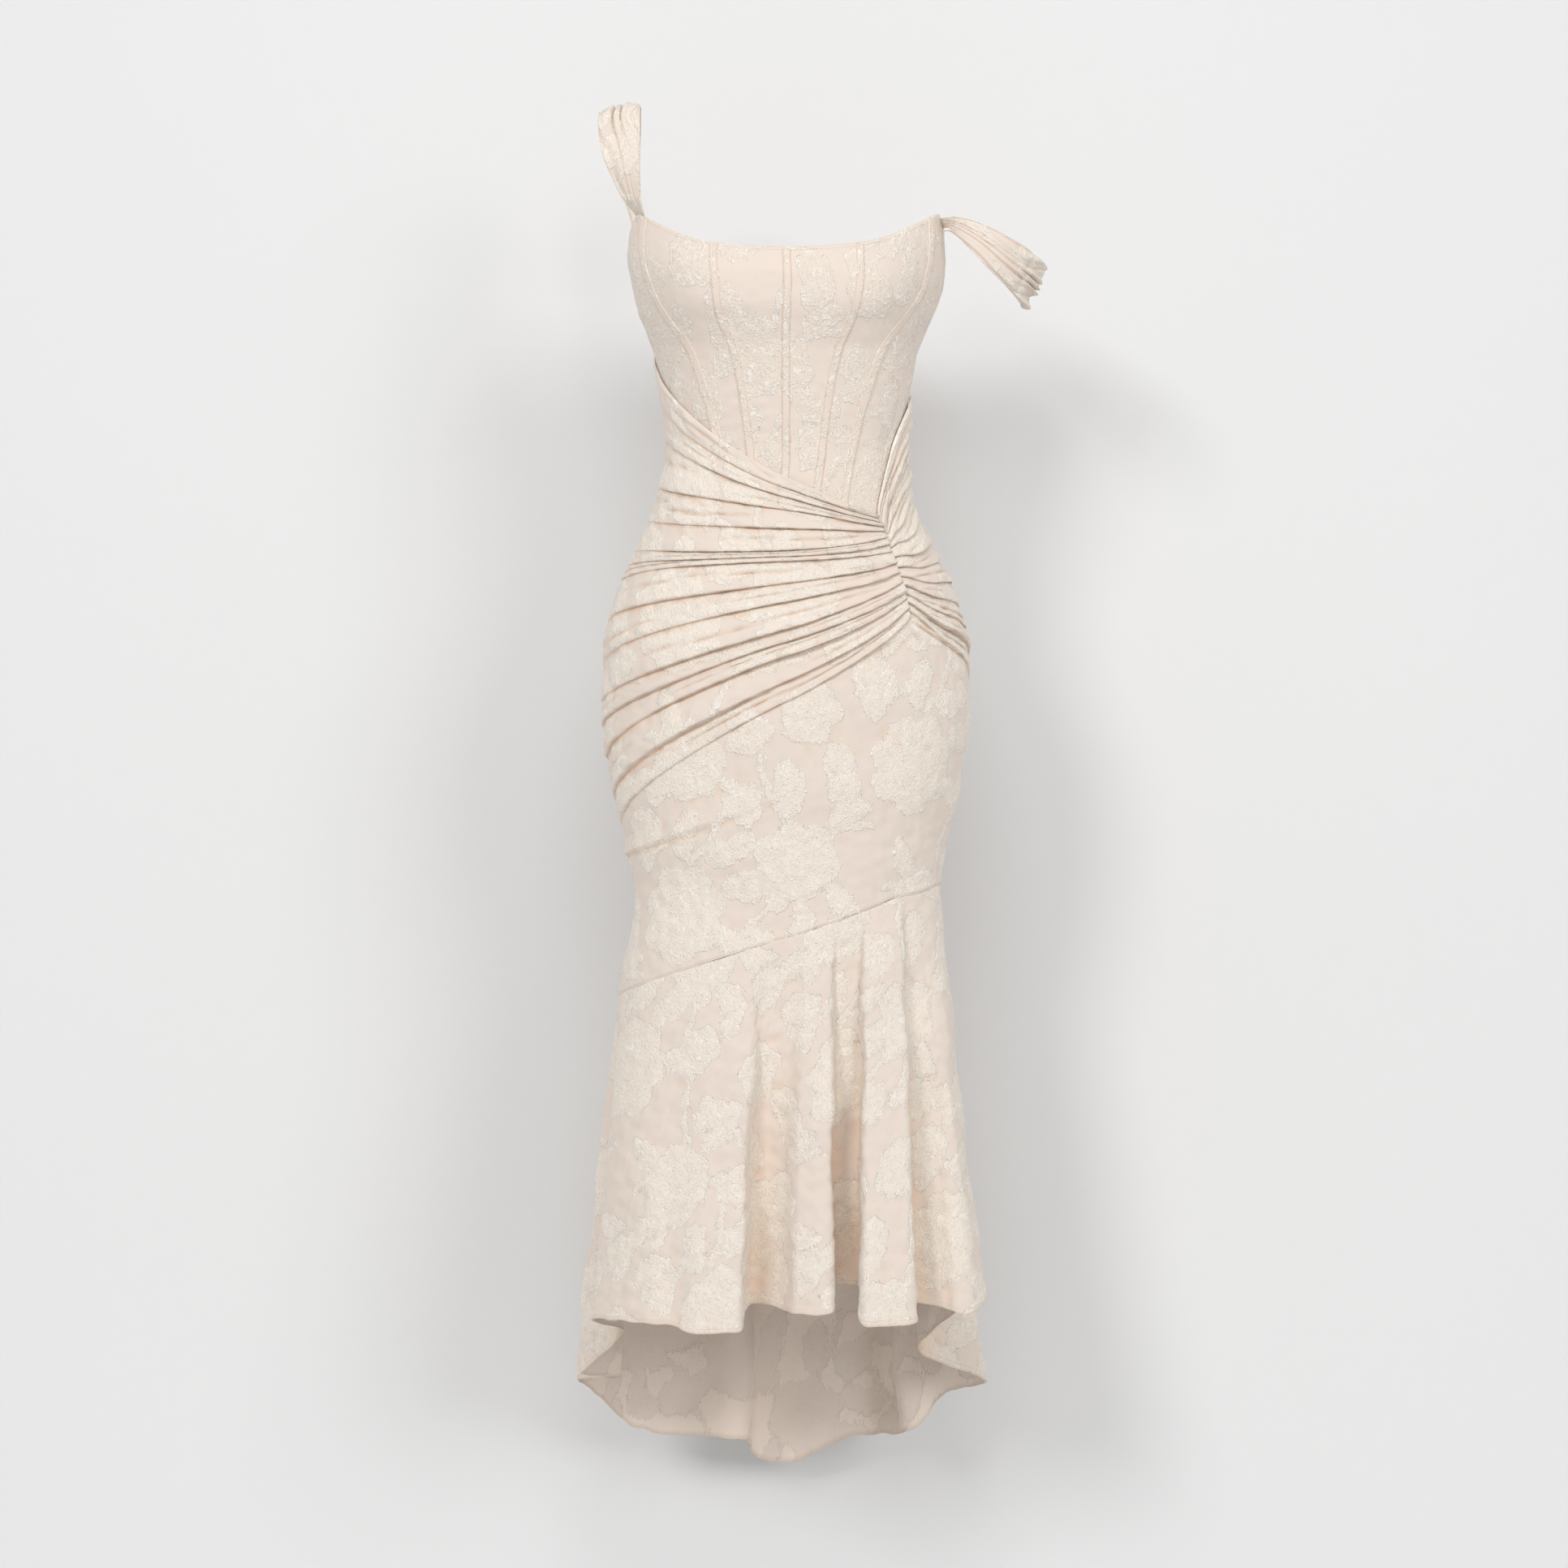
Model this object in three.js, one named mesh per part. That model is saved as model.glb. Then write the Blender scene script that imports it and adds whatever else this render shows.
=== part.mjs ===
// A corset maxi dress in cream jacquard, standing filled out as it is worn, with no wearer in it.
// The boned bodice ends under a skirt front whose top is drawn into a short gathered seam on one hip,
// and a flared flounce, longer behind than in front, is sewn on along a slanting seam at the knee.
// One strap goes up over the shoulder and the other has slipped down round the upper arm.
//
// Millimetres. +X is the wearer's left, -Y the front and +Z up. The origin is the middle of the waist.
// Angles on the figure are degrees from the centre front, positive towards the wearer's left.
import * as THREE from "three";

// Driving sizes
const cloth = 1.4; // thickness of the jacquard
const seamGap = 0.3; // between the edges of two pieces at a seam
const kneeGap = 0.45; // and at the long curved seam of the flounce
const sideGapShare = 1.4; // the long side seams of the skirt gape by this much more
const squareness = 0.94; // 1 makes every cross section an ellipse, less makes it squarer
const skirtLift = 2.8; // the skirt front lies this far outside the bodice
const lap = 10; // the bodice goes on this far under the skirt front
const sideSeam = 97; // angle of the side seams
const waistSeam = -10; // height of the seam under the back bodice
const casingWidth = 9;
const casingRise = 1.3; // how far a boning casing stands out of the panels
const casingSeat = 0.6;
const casingHeadIn = 2.5; // how far it stops short of the top edge
const casingFootIn = 4; // and of the edge of the skirt
const creamColour = 0xeee1d5;
const casingColour = 0xf0e6dc;

// Sections of the general figure that the dress is cut for: half widths to the wearer's right and
// left of the centre line, and depths in front of it and behind it.
const figure = [
  { z: -580, right: 166, left: 167, front: 102, back: 106 },
  { z: -520, right: 154, left: 155, front: 94, back: 98 },
  { z: -467, right: 147, left: 154, front: 92, back: 97 },
  { z: -430, right: 154, left: 159, front: 95, back: 101 },
  { z: -357, right: 170, left: 175, front: 100, back: 114 },
  { z: -283, right: 179, left: 185, front: 103, back: 127 },
  { z: -221, right: 179, left: 182, front: 104, back: 128 },
  { z: -172, right: 168, left: 170.5, front: 101, back: 120 },
  { z: -123, right: 147, left: 150, front: 96, back: 106 },
  { z: -74, right: 127, left: 126, front: 89, back: 90 },
  { z: -25, right: 116.5, left: 120.5, front: 86, back: 80 },
  { z: 25, right: 121, left: 125, front: 91, back: 83 },
  { z: 74, right: 130, left: 134, front: 98, back: 88 },
  { z: 98, right: 139, left: 143, front: 105, back: 90 },
  { z: 123, right: 148, left: 154, front: 112, back: 91 },
  { z: 148, right: 154, left: 161, front: 113, back: 90 },
  { z: 172, right: 158, left: 163, front: 106, back: 86 },
  { z: 190, right: 157, left: 162, front: 96, back: 80 },
  { z: 209, right: 153, left: 160, front: 82, back: 70 },
  { z: 230, right: 148, left: 158, front: 64, back: 58 },
];

// The bust cups, one each side of the centre front
const cup = { deg: 33, z: 132, spreadDeg: 19, spreadUp: 46, spreadDown: 34, rise: 9 };

// The bodice's top edge, the same on both sides of the centre
const topEdge = [
  { deg: 0, z: 176 },
  { deg: 10, z: 177 },
  { deg: 19, z: 179.5 },
  { deg: 27, z: 182.5 },
  { deg: 35, z: 187.5 },
  { deg: 43, z: 194 },
  { deg: 52, z: 202 },
  { deg: 61, z: 209 },
  { deg: 70, z: 214.5 },
  { deg: 78, z: 216.5 },
  { deg: 84, z: 209 },
  { deg: 92, z: 199 },
  { deg: 105, z: 191 },
  { deg: 130, z: 177 },
  { deg: 155, z: 165 },
  { deg: 180, z: 161 },
];

// The bodice seams: the angle of each at its heights, on either side
const seams = [
  { z: -110, inner: 12, outer: 24.5, back: 155 },
  { z: -80, inner: 13, outer: 26.5, back: 155 },
  { z: -34, inner: 15.7, outer: 31.5, back: 153 },
  { z: 3, inner: 17.5, outer: 35.5, back: 151 },
  { z: 40, inner: 19.4, outer: 40.5, back: 149 },
  { z: 78, inner: 21.9, outer: 45.5, back: 147 },
  { z: 107, inner: 24.6, outer: 53, back: 146 },
  { z: 145, inner: 24.6, outer: 60.5, back: 146 },
  { z: 183, inner: 25, outer: 64.5, back: 147 },
  { z: 216, inner: 25, outer: 67.5, back: 148 },
];

// Lines that run across the skirt front, numbered from its top edge down. Lines 0 to 14 are the
// hollows between the pleats and all meet the gathered seam. Each has its height at the wearer's
// right side, at the gathered seam and at the left side, and its slope in millimetres a degree.
const gatherDeg = 43;
const kneeLine = 18; // the seam of the flounce
const acrossLines = [
  { line: 0, right: 76, rightSlope: -1.3, gather: -88.5, into: -0.6, outOf: 5.0, left: 36, leftSlope: 0.4 },
  { line: 1, right: 40, rightSlope: -1.0, gather: -92.5, into: -0.45, outOf: 4.6, left: 22, leftSlope: 0.4 },
  { line: 2, right: -5, rightSlope: -0.4, gather: -96.5, into: -0.4, outOf: 4.2, left: 8, leftSlope: 0.4 },
  { line: 3, right: -58, rightSlope: -0.1, gather: -100.5, into: -0.35, outOf: 3.8, left: -7, leftSlope: 0.4 },
  { line: 4, right: -90, rightSlope: -0.2, gather: -105, into: 0, outOf: 3.3, left: -24, leftSlope: 0.4 },
  { line: 5, right: -124, rightSlope: 0.1, gather: -110.5, into: 0.6, outOf: 2.6, left: -42, leftSlope: 0.3 },
  { line: 6, right: -140, rightSlope: 0.25, gather: -118, into: 0.5, outOf: 1.8, left: -62, leftSlope: 0.2 },
  { line: 7, right: -158, rightSlope: 0.5, gather: -126, into: 0.35, outOf: 1.0, left: -84, leftSlope: 0.1 },
  { line: 8, right: -198, rightSlope: 0.5, gather: -137, into: 0.6, outOf: 0.6, left: -108, leftSlope: 0 },
  { line: 9, right: -243, rightSlope: 0.7, gather: -146, into: 0.75, outOf: 0.2, left: -132, leftSlope: -0.2 },
  { line: 10, right: -278, rightSlope: 0.4, gather: -155, into: 1.2, outOf: -0.3, left: -158, leftSlope: -0.5 },
  { line: 11, right: -304, rightSlope: 0.5, gather: -163.5, into: 1.25, outOf: -0.7, left: -184, leftSlope: -0.8 },
  { line: 12, right: -338, rightSlope: 0.7, gather: -172, into: 1.3, outOf: -1.2, left: -208, leftSlope: -1.2 },
  { line: 13, right: -379, rightSlope: 0.75, gather: -181, into: 1.8, outOf: -1.7, left: -232, leftSlope: -1.5 },
  { line: 14, right: -405, rightSlope: 0.6, gather: -192, into: 2.0, outOf: -1.9, left: -258, leftSlope: -1.6 },
  { line: 15, right: -430, rightSlope: 0.1, gather: -300, into: 2.0, outOf: 0.6, left: -310, leftSlope: -0.6 },
  { line: 16, right: -482, rightSlope: 0.3, gather: -388, into: 0.9, outOf: 0.7, left: -362, leftSlope: 0.2 },
  { line: 17, right: -527, rightSlope: 0.3, gather: -432, into: 0.8, outOf: 0.5, left: -410, leftSlope: 0.2 },
  { line: 18, right: -572, rightSlope: 0.1, gather: -471.5, into: 0.85, outOf: 0.35, left: -457, leftSlope: 0 },
];

// The pleats: each lies below the line of its own number. How far it stands out on the wearer's
// right of the gathered seam and on the left of it, and the angle at which it has died away.
const pleats = [
  { line: 0, right: 2.4, left: 2.4, fades: -140 },
  { line: 1, right: 3.2, left: 3.0, fades: -140 },
  { line: 2, right: 4.0, left: 3.2, fades: -140 },
  { line: 3, right: 3.6, left: 3.2, fades: -125 },
  { line: 4, right: 3.4, left: 3.0, fades: -110 },
  { line: 5, right: 3.0, left: 3.0, fades: -110 },
  { line: 6, right: 3.4, left: 2.8, fades: -130 },
  { line: 7, right: 4.6, left: 2.8, fades: -130 },
  { line: 8, right: 4.2, left: 2.6, fades: -110 },
  { line: 9, right: 5.2, left: 2.4, fades: -130 },
  { line: 10, right: 5.6, left: 2.4, fades: -130 },
  { line: 11, right: 6.0, left: 2.8, fades: -140 },
  { line: 12, right: 6.4, left: 3.4, fades: -150 },
  { line: 13, right: 3.2, left: 2.4, fades: -130 },
];
const pinch = 0.4; // share of its height that a pleat keeps at the gathered seam
const pinchDeg = 20; // and the angle over which it rises to the whole
const leftFadeDeg = 62; // over which the pleats on the wearer's left die away
const lowPleat = { line: 15, fromDeg: -120, toDeg: -10, rise: 2.6, width: 0.16 }; // one more, by itself

// The hem of the flounce, turn by turn, all round from the wearer's right front corner: the angle on
// the knee seam that each turn hangs from, where it is, which way the hem runs there (0 towards the
// wearer's left, 90 towards the back), how far it keeps that way, and how much the cloth above it
// bows outwards.
const hemTurns = [
  { turn: "front corner", seam: -78, x: -191, y: -75, z: -891, runs: -62, reach: 16, bow: 0 },
  { turn: "broad panel", seam: -46, x: -122, y: -134, z: -890, runs: -12, reach: 26, bow: 0 },
  { turn: "first crest", seam: -19, x: -68, y: -160, z: -899, runs: 0, reach: 28, bow: 0 },
  { turn: "first hollow", seam: -4, x: -22, y: -100, z: -873, runs: 0, reach: 16, bow: 0 },
  { turn: "second crest", seam: 7, x: 20, y: -152, z: -881, runs: 0, reach: 24, bow: 0 },
  { turn: "its left edge", seam: 13.5, x: 48.5, y: -126, z: -871, runs: 90, reach: 13, bow: 0 },
  { turn: "second hollow", seam: 17, x: 62, y: -86, z: -855, runs: 0, reach: 9, bow: 0 },
  { turn: "third crest's right edge", seam: 22, x: 76, y: -128, z: -874, runs: 270, reach: 15, bow: 0 },
  { turn: "third crest", seam: 32, x: 104, y: -161, z: -891, runs: 0, reach: 19, bow: 0 },
  { turn: "its left edge", seam: 42, x: 130.5, y: -128, z: -880, runs: 90, reach: 15, bow: 0 },
  { turn: "third hollow", seam: 49, x: 144, y: -88, z: -874, runs: 0, reach: 9, bow: 0 },
  { turn: "fourth crest", seam: 66, x: 178, y: -116, z: -882, runs: 12, reach: 18, bow: 0 },
  { turn: "left edge", seam: 84, x: 203, y: -56, z: -868, runs: 90, reach: 22, bow: -0.3 },
  { turn: "left inner turn", seam: 108, x: 137, y: 40, z: -931, runs: 90, reach: 16, bow: 0 },
  { turn: "left outer turn", seam: 124, x: 207, y: 92, z: -970, runs: 90, reach: 20, bow: -0.1 },
  { turn: "left back slope", seam: 138, x: 168, y: 142, z: -988, runs: 160, reach: 16, bow: 0 },
  { turn: "near back fold", seam: 151, x: 134, y: 146, z: -1028, runs: 180, reach: 22, bow: 0 },
  { turn: "left back hollow", seam: 158, x: 112, y: 198, z: -1031, runs: 180, reach: 20, bow: 0 },
  { turn: "left back fold", seam: 167, x: 78, y: 168, z: -1031, runs: 180, reach: 26, bow: 0 },
  { turn: "centre back", seam: 180, x: 2, y: 215, z: -1067, runs: 180, reach: 44, bow: 0 },
  { turn: "right back fold", seam: 195, x: -64, y: 150, z: -1035, runs: 180, reach: 32, bow: 0 },
  { turn: "right back hollow", seam: 206, x: -112, y: 180, z: -1034, runs: 180, reach: 22, bow: 0 },
  { turn: "right back panel", seam: 218, x: -150, y: 160, z: -1026, runs: 200, reach: 18, bow: 0.1 },
  { turn: "right back slope", seam: 232, x: -190, y: 118, z: -989, runs: 238, reach: 18, bow: 0.3 },
  { turn: "right outer turn", seam: 245, x: -211, y: 68, z: -966, runs: 270, reach: 16, bow: 0.6 },
  { turn: "right inner turn", seam: 254, x: -166, y: 42, z: -961, runs: 270, reach: 12, bow: 0 },
  { turn: "right second turn", seam: 262, x: -205, y: 12, z: -954, runs: 270, reach: 14, bow: 0.5 },
  { turn: "right second inner", seam: 272, x: -162, y: -30, z: -908, runs: 270, reach: 16, bow: 0 },
];

// The wearer's right side seam comes forward below the knee
const rightSideForward = [
  { z: -580, deg: -78 },
  { z: -560, deg: -79 },
  { z: -500, deg: -91 },
  { z: -460, deg: -97 },
  { z: -400, deg: -97 },
];

// The strap over the wearer's right shoulder, from the front of the bodice to the back: its middle,
// and half its width as a slanting line (across, to the back and up) towards its inner edge.
const shoulderStrap = [
  { x: -153, y: -33, z: 231, across: 8.2, back: -5, up: 1, gather: 0.8 },
  { x: -158, y: -39, z: 251, across: 13.6, back: -3, up: 1.5, gather: 1.2 },
  { x: -162.5, y: -41, z: 271, across: 18, back: 0, up: 2, gather: 1.6 },
  { x: -165, y: -38, z: 290, across: 20.4, back: 0, up: 2.5, gather: 2 },
  { x: -165.5, y: -27, z: 308, across: 21, back: 0, up: 3.5, gather: 2.4 },
  { x: -165.5, y: -11, z: 319, across: 21, back: 0, up: 4, gather: 2.6 },
  { x: -165.5, y: 6, z: 322, across: 21, back: 0, up: 4, gather: 2.6 },
  { x: -165.5, y: 24, z: 317, across: 20.5, back: 0, up: 3.5, gather: 2.4 },
  { x: -164.5, y: 38, z: 302, across: 19, back: 0, up: 2.5, gather: 2 },
  { x: -162, y: 46, z: 279, across: 15.5, back: 1, up: 2, gather: 1.6 },
  { x: -157.5, y: 48, z: 253, across: 10.5, back: 3, up: 1, gather: 1.2 },
  { x: -152, y: 44, z: 226, across: 7, back: 4, up: -1, gather: 0.8 },
  { x: -147, y: 37, z: 203, across: 6, back: 7, up: -2.5, gather: 0.5 },
];
// Where its ends are sewn: the angles of its two edges, how far each is below the bodice's top edge
// and how far out of the bodice's face, and 1 if the strap's own face is turned to the bodice there
const shoulderEnds = {
  front: { from: -80, to: -67, fromDrop: -0.4, toDrop: -0.4, out: 0, turned: -1 },
  back: { from: -106, to: -120, fromDrop: -0.4, toDrop: -0.4, out: 0, turned: -1 },
};

// The strap that has slipped round the wearer's left upper arm, also from front to back, with half
// its width towards its upper edge.
const armStrap = [
  { x: 166, y: -27, z: 207.5, across: 0, back: -4, up: 5, gather: 0.4 },
  { x: 172, y: -37, z: 205, across: 2.5, back: -3, up: 6.8, gather: 0.6 },
  { x: 181, y: -46, z: 200, across: 5.5, back: -1.5, up: 8.5, gather: 0.9 },
  { x: 198, y: -53, z: 188, across: 7.5, back: 0, up: 12.3, gather: 1.2 },
  { x: 215, y: -53, z: 175, across: 8.5, back: 0, up: 15.8, gather: 1.6 },
  { x: 231, y: -45, z: 163.5, across: 9, back: 0, up: 18.8, gather: 2.2 },
  { x: 243, y: -30, z: 153, across: 10, back: 0, up: 20.5, gather: 3 },
  { x: 250, y: -10, z: 145.5, across: 10.5, back: 0, up: 22, gather: 3.4 },
  { x: 251, y: 8, z: 146.5, across: 10.5, back: 0, up: 21.5, gather: 3.4 },
  { x: 246, y: 29, z: 154, across: 9.5, back: 0, up: 19.5, gather: 3 },
  { x: 234, y: 46, z: 165.5, across: 8, back: 0, up: 16.5, gather: 2.2 },
  { x: 217, y: 55, z: 179, across: 7, back: 0, up: 13, gather: 1.6 },
  { x: 198, y: 58, z: 194, across: 4.5, back: 0, up: 9.5, gather: 1.2 },
  { x: 181, y: 55, z: 204.5, across: 0.5, back: 1, up: 6.5, gather: 0.8 },
  { x: 167, y: 49, z: 210.5, across: -1, back: 3.4, up: 4.8, gather: 0.5 },
  { x: 156, y: 39, z: 203, across: -2.8, back: 6.5, up: 1.5, gather: 0.4 },
];
const armEnds = {
  front: { from: 84, to: 80, fromDrop: 6, toDrop: 2.5, out: 0.4, turned: 1 },
  back: { from: 106, to: 118, fromDrop: -0.4, toDrop: -0.4, out: 0, turned: -1 },
};
const strapWaves = { shoulder: 4, arm: 5.5 }; // gathers side by side across each strap

const hemShare = 0.2; // the share of a panel's width beside each seam that a casing may cover

// How finely each piece is made
const steps = {
  panelUp: 14,
  skirtBackAround: 11,
  rowsPerPleat: 3,
  hemPerTurn: 5,
  flounceDown: 6,
  strapAlong: 18,
  strapAcross: 8,
};

const radians = Math.PI / 180;
const mix = (a, b, t) => a + (b - a) * t;
const clamp01 = (t) => Math.min(1, Math.max(0, t));
const smooth = (t) => clamp01(t) ** 2 * (3 - 2 * clamp01(t));
const signedPower = (v, p) => Math.sign(v) * Math.abs(v) ** p;

// A cubic from a to b over a span, with the slopes it has at its ends
function cubic(a, b, slopeA, slopeB, span, t) {
  const t2 = t * t;
  const t3 = t2 * t;
  const ends = a * (2 * t3 - 3 * t2 + 1) + b * (3 * t2 - 2 * t3);
  return ends + span * (slopeA * (t3 - 2 * t2 + t) + slopeB * (t3 - t2));
}

// A column of a table at any place along its key, on a smooth curve that never overshoots a row
function column(table, key, name, at) {
  const last = table.length - 1;
  const place = Math.min(Math.max(at, table[0][key]), table[last][key]);
  let i = 0;
  while (i < last - 1 && table[i + 1][key] < place) i += 1;
  const rise = (k) =>
    (table[k + 1][name] - table[k][name]) / (table[k + 1][key] - table[k][key]);
  const slope = (k) => {
    if (k === 0) return rise(0);
    if (k === last) return rise(last - 1);
    const before = rise(k - 1);
    const after = rise(k);
    return before * after <= 0 ? 0 : (2 * before * after) / (before + after);
  };
  const span = table[i + 1][key] - table[i][key];
  const t = (place - table[i][key]) / span;
  return cubic(table[i][name], table[i + 1][name], slope(i), slope(i + 1), span, t);
}

// The figure with a distance out added
function onFigure(deg, z, out = 0) {
  const right = column(figure, "z", "right", z);
  const left = column(figure, "z", "left", z);
  const across = signedPower(Math.sin(deg * radians), squareness);
  const along = signedPower(Math.cos(deg * radians), squareness);
  const depth = along > 0 ? column(figure, "z", "front", z) : column(figure, "z", "back", z);
  const halfWidth = (left + right) / 2;
  const up = z > cup.z ? cup.spreadUp : cup.spreadDown;
  const away = ((Math.abs(deg) - cup.deg) / cup.spreadDeg) ** 2 + ((z - cup.z) / up) ** 2;
  const swell = out + cup.rise * Math.exp(-away);
  return new THREE.Vector3(
    (left - right) / 2 + (halfWidth + swell) * across,
    -(depth + swell) * along,
    z,
  );
}

// A closed wall on a grid of outer points: inner(i, j) gives the point behind each.
// Rows run up or down and columns run round; the way round is mended by the solid's own volume.
function wall(outer, inner) {
  const rows = outer.length;
  const columns = outer[0].length;
  const points = [...outer.flat(), ...inner.flat()];
  const front = (i, j) => i * columns + j;
  const behind = (i, j) => rows * columns + i * columns + j;
  const faces = [];
  const quad = (a, b, c, d) => faces.push([a, b, c], [a, c, d]);
  for (let i = 0; i < rows - 1; i += 1) {
    for (let j = 0; j < columns - 1; j += 1) {
      quad(front(i, j), front(i, j + 1), front(i + 1, j + 1), front(i + 1, j));
      quad(behind(i, j), behind(i + 1, j), behind(i + 1, j + 1), behind(i, j + 1));
    }
  }
  for (let j = 0; j < columns - 1; j += 1) {
    const end = rows - 1;
    quad(behind(0, j), behind(0, j + 1), front(0, j + 1), front(0, j));
    quad(front(end, j), front(end, j + 1), behind(end, j + 1), behind(end, j));
  }
  for (let i = 0; i < rows - 1; i += 1) {
    const end = columns - 1;
    quad(front(i, 0), front(i + 1, 0), behind(i + 1, 0), behind(i, 0));
    quad(behind(i, end), behind(i + 1, end), front(i + 1, end), front(i, end));
  }
  const sixth = (a, b, c) => points[a].dot(points[b].clone().cross(points[c]));
  const volume = faces.reduce((sum, [a, b, c]) => sum + sixth(a, b, c), 0);
  const index = faces.flatMap(([a, b, c]) => (volume > 0 ? [a, b, c] : [a, c, b]));
  const geometry = new THREE.BufferGeometry();
  geometry.setAttribute(
    "position",
    new THREE.Float32BufferAttribute(points.flatMap((p) => [p.x, p.y, p.z]), 3),
  );
  geometry.setIndex(index);
  geometry.computeVertexNormals();
  return geometry;
}

const counted = (from, to, count) =>
  Array.from({ length: count + 1 }, (_, i) => mix(from, to, i / count));

const material = (color) => new THREE.MeshStandardMaterial({ color, roughness: 0.72, metalness: 0 });
const dress = new THREE.Group();
function addPiece(name, geometry, color = creamColour) {
  const mesh = new THREE.Mesh(geometry, material(color));
  mesh.name = name;
  dress.add(mesh);
}

// Height of an across line at an angle on the skirt front
function acrossHeight(line, deg) {
  const of = (name) => column(acrossLines, "line", name, line);
  if (deg <= gatherDeg) {
    const span = gatherDeg + sideSeam;
    const t = (deg + sideSeam) / span;
    return cubic(of("right"), of("gather"), of("rightSlope"), of("into"), span, t);
  }
  const span = sideSeam - gatherDeg;
  const t = (deg - gatherDeg) / span;
  return cubic(of("gather"), of("left"), of("outOf"), of("leftSlope"), span, t);
}

// How far the pleats stand out at a line number and an angle
function pleatRise(line, deg) {
  const pleat = pleats[Math.floor(line)];
  const aside = smooth(Math.abs(deg - gatherDeg) / pinchDeg);
  let rise = 0;
  if (pleat) {
    const swell = Math.sin(Math.PI * (line - pleat.line)) ** 0.75;
    const side =
      deg <= gatherDeg
        ? pleat.right * smooth((deg - pleat.fades) / (gatherDeg - pleat.fades) / 0.7)
        : pleat.left * (1 - 0.7 * smooth((deg - gatherDeg) / leftFadeDeg));
    rise = swell * side * mix(pinch, 1, aside);
  }
  const lowAcross = Math.exp(-(((line - lowPleat.line) / lowPleat.width) ** 2));
  const lowAlong = smooth((lowPleat.toDeg - deg) / 45) * smooth((deg - lowPleat.fromDeg) / 30);
  return rise + lowPleat.rise * lowAcross * lowAlong;
}

// Angle of the wearer's right side seam at a height
const rightSeamDeg = (z) => column(rightSideForward, "z", "deg", z);

// Height of the knee seam at an angle, all round
function kneeSeam(deg) {
  const turned = deg > 180 ? deg - 360 : deg;
  if (Math.abs(turned) <= sideSeam) return acrossHeight(kneeLine, turned);
  const behindDeg = deg < 0 ? deg + 360 : deg;
  const t = (behindDeg - sideSeam) / (360 - 2 * sideSeam);
  return mix(acrossHeight(kneeLine, sideSeam), acrossHeight(kneeLine, -sideSeam), smooth(t));
}

const topHeight = (deg) => column(topEdge, "deg", "z", Math.abs(deg));
function bodiceFoot(deg) {
  return Math.abs(deg) <= sideSeam ? acrossHeight(0, deg) - lap : waistSeam + seamGap / 2;
}

// Half a seam's gap as an angle, for the waist's own width at that angle
const halfGap = (deg) => seamGap / 2 / onFigure(deg, 0).distanceTo(onFigure(deg + 1, 0));
const sideGap = sideGapShare * halfGap(sideSeam);

// The height at which a slanting line meets an edge that depends on the angle
function meets(edge, degAt, from) {
  let z = from;
  for (let i = 0; i < 40; i += 1) z = mix(z, edge(degAt(z)), 0.6);
  return z;
}

// One panel of the bodice between two seams, as a grid of places on the figure
function panelPlaces(from, to, around) {
  const shares = [0, ...counted(hemShare, 1 - hemShare, around - 1), 1];
  return counted(0, 1, steps.panelUp).map((v) =>
    shares.map((u) => {
      const line = (z) => mix(from(z) + halfGap(from(z)), to(z) - halfGap(to(z)), u);
      const z = mix(meets(bodiceFoot, line, -20), meets(topHeight, line, 180), v);
      return { deg: line(z), z };
    }),
  );
}
const placed = (places, out) => places.map((row) => row.map((s) => onFigure(s.deg, s.z, out)));
const panelWall = (places) => wall(placed(places, 0), placed(places, -cloth));

// A point on a grid between its rows, a distance in from the grid's first or last column
function onPanel(grid, up, fromLast, aside) {
  const row = Math.min(Math.floor(up), grid.length - 2);
  const [edge, next] = fromLast ? [grid[0].length - 1, grid[0].length - 2] : [0, 1];
  const between = (j) => grid[row][j].clone().lerp(grid[row + 1][j], up - row);
  const [start, end] = [between(edge), between(next)];
  return start.clone().lerp(end, aside / start.distanceTo(end));
}

// A boning casing over the seam of two panels, made from their own points moved out
function casing(before, after, footIn) {
  const rows = before.length - 1;
  const edge = placed(before, 0).map((row) => row[row.length - 1]);
  const height = edge[rows].distanceTo(edge[0]);
  const [first, last] = [(footIn / height) * rows, rows - (casingHeadIn / height) * rows];
  const ups = [first, ...counted(0, rows, rows).filter((up) => up > first + 0.2 && up < last - 0.2), last];
  const [a, b] = [placed(before, 0), placed(after, 0)];
  const under = ups.map((up) => [
    onPanel(a, up, true, casingWidth / 2),
    onPanel(a, up, true, 0).lerp(onPanel(b, up, false, 0), 0.5),
    onPanel(b, up, false, casingWidth / 2),
  ]);
  const moved = (out) =>
    under.map((row, i) => {
      const [lower, upper] = [under[Math.max(i - 1, 0)], under[Math.min(i + 1, ups.length - 1)]];
      const outwards = row[2].clone().sub(row[0]).cross(upper[1].clone().sub(lower[1])).normalize();
      return row.map((point) => point.clone().addScaledVector(outwards, out));
    });
  return wall(moved(casingRise + casingSeat), moved(casingSeat));
}

const seamAt = (name, side) => (z) => side * column(seams, "z", name, z);
const level = (deg) => () => deg;

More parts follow.
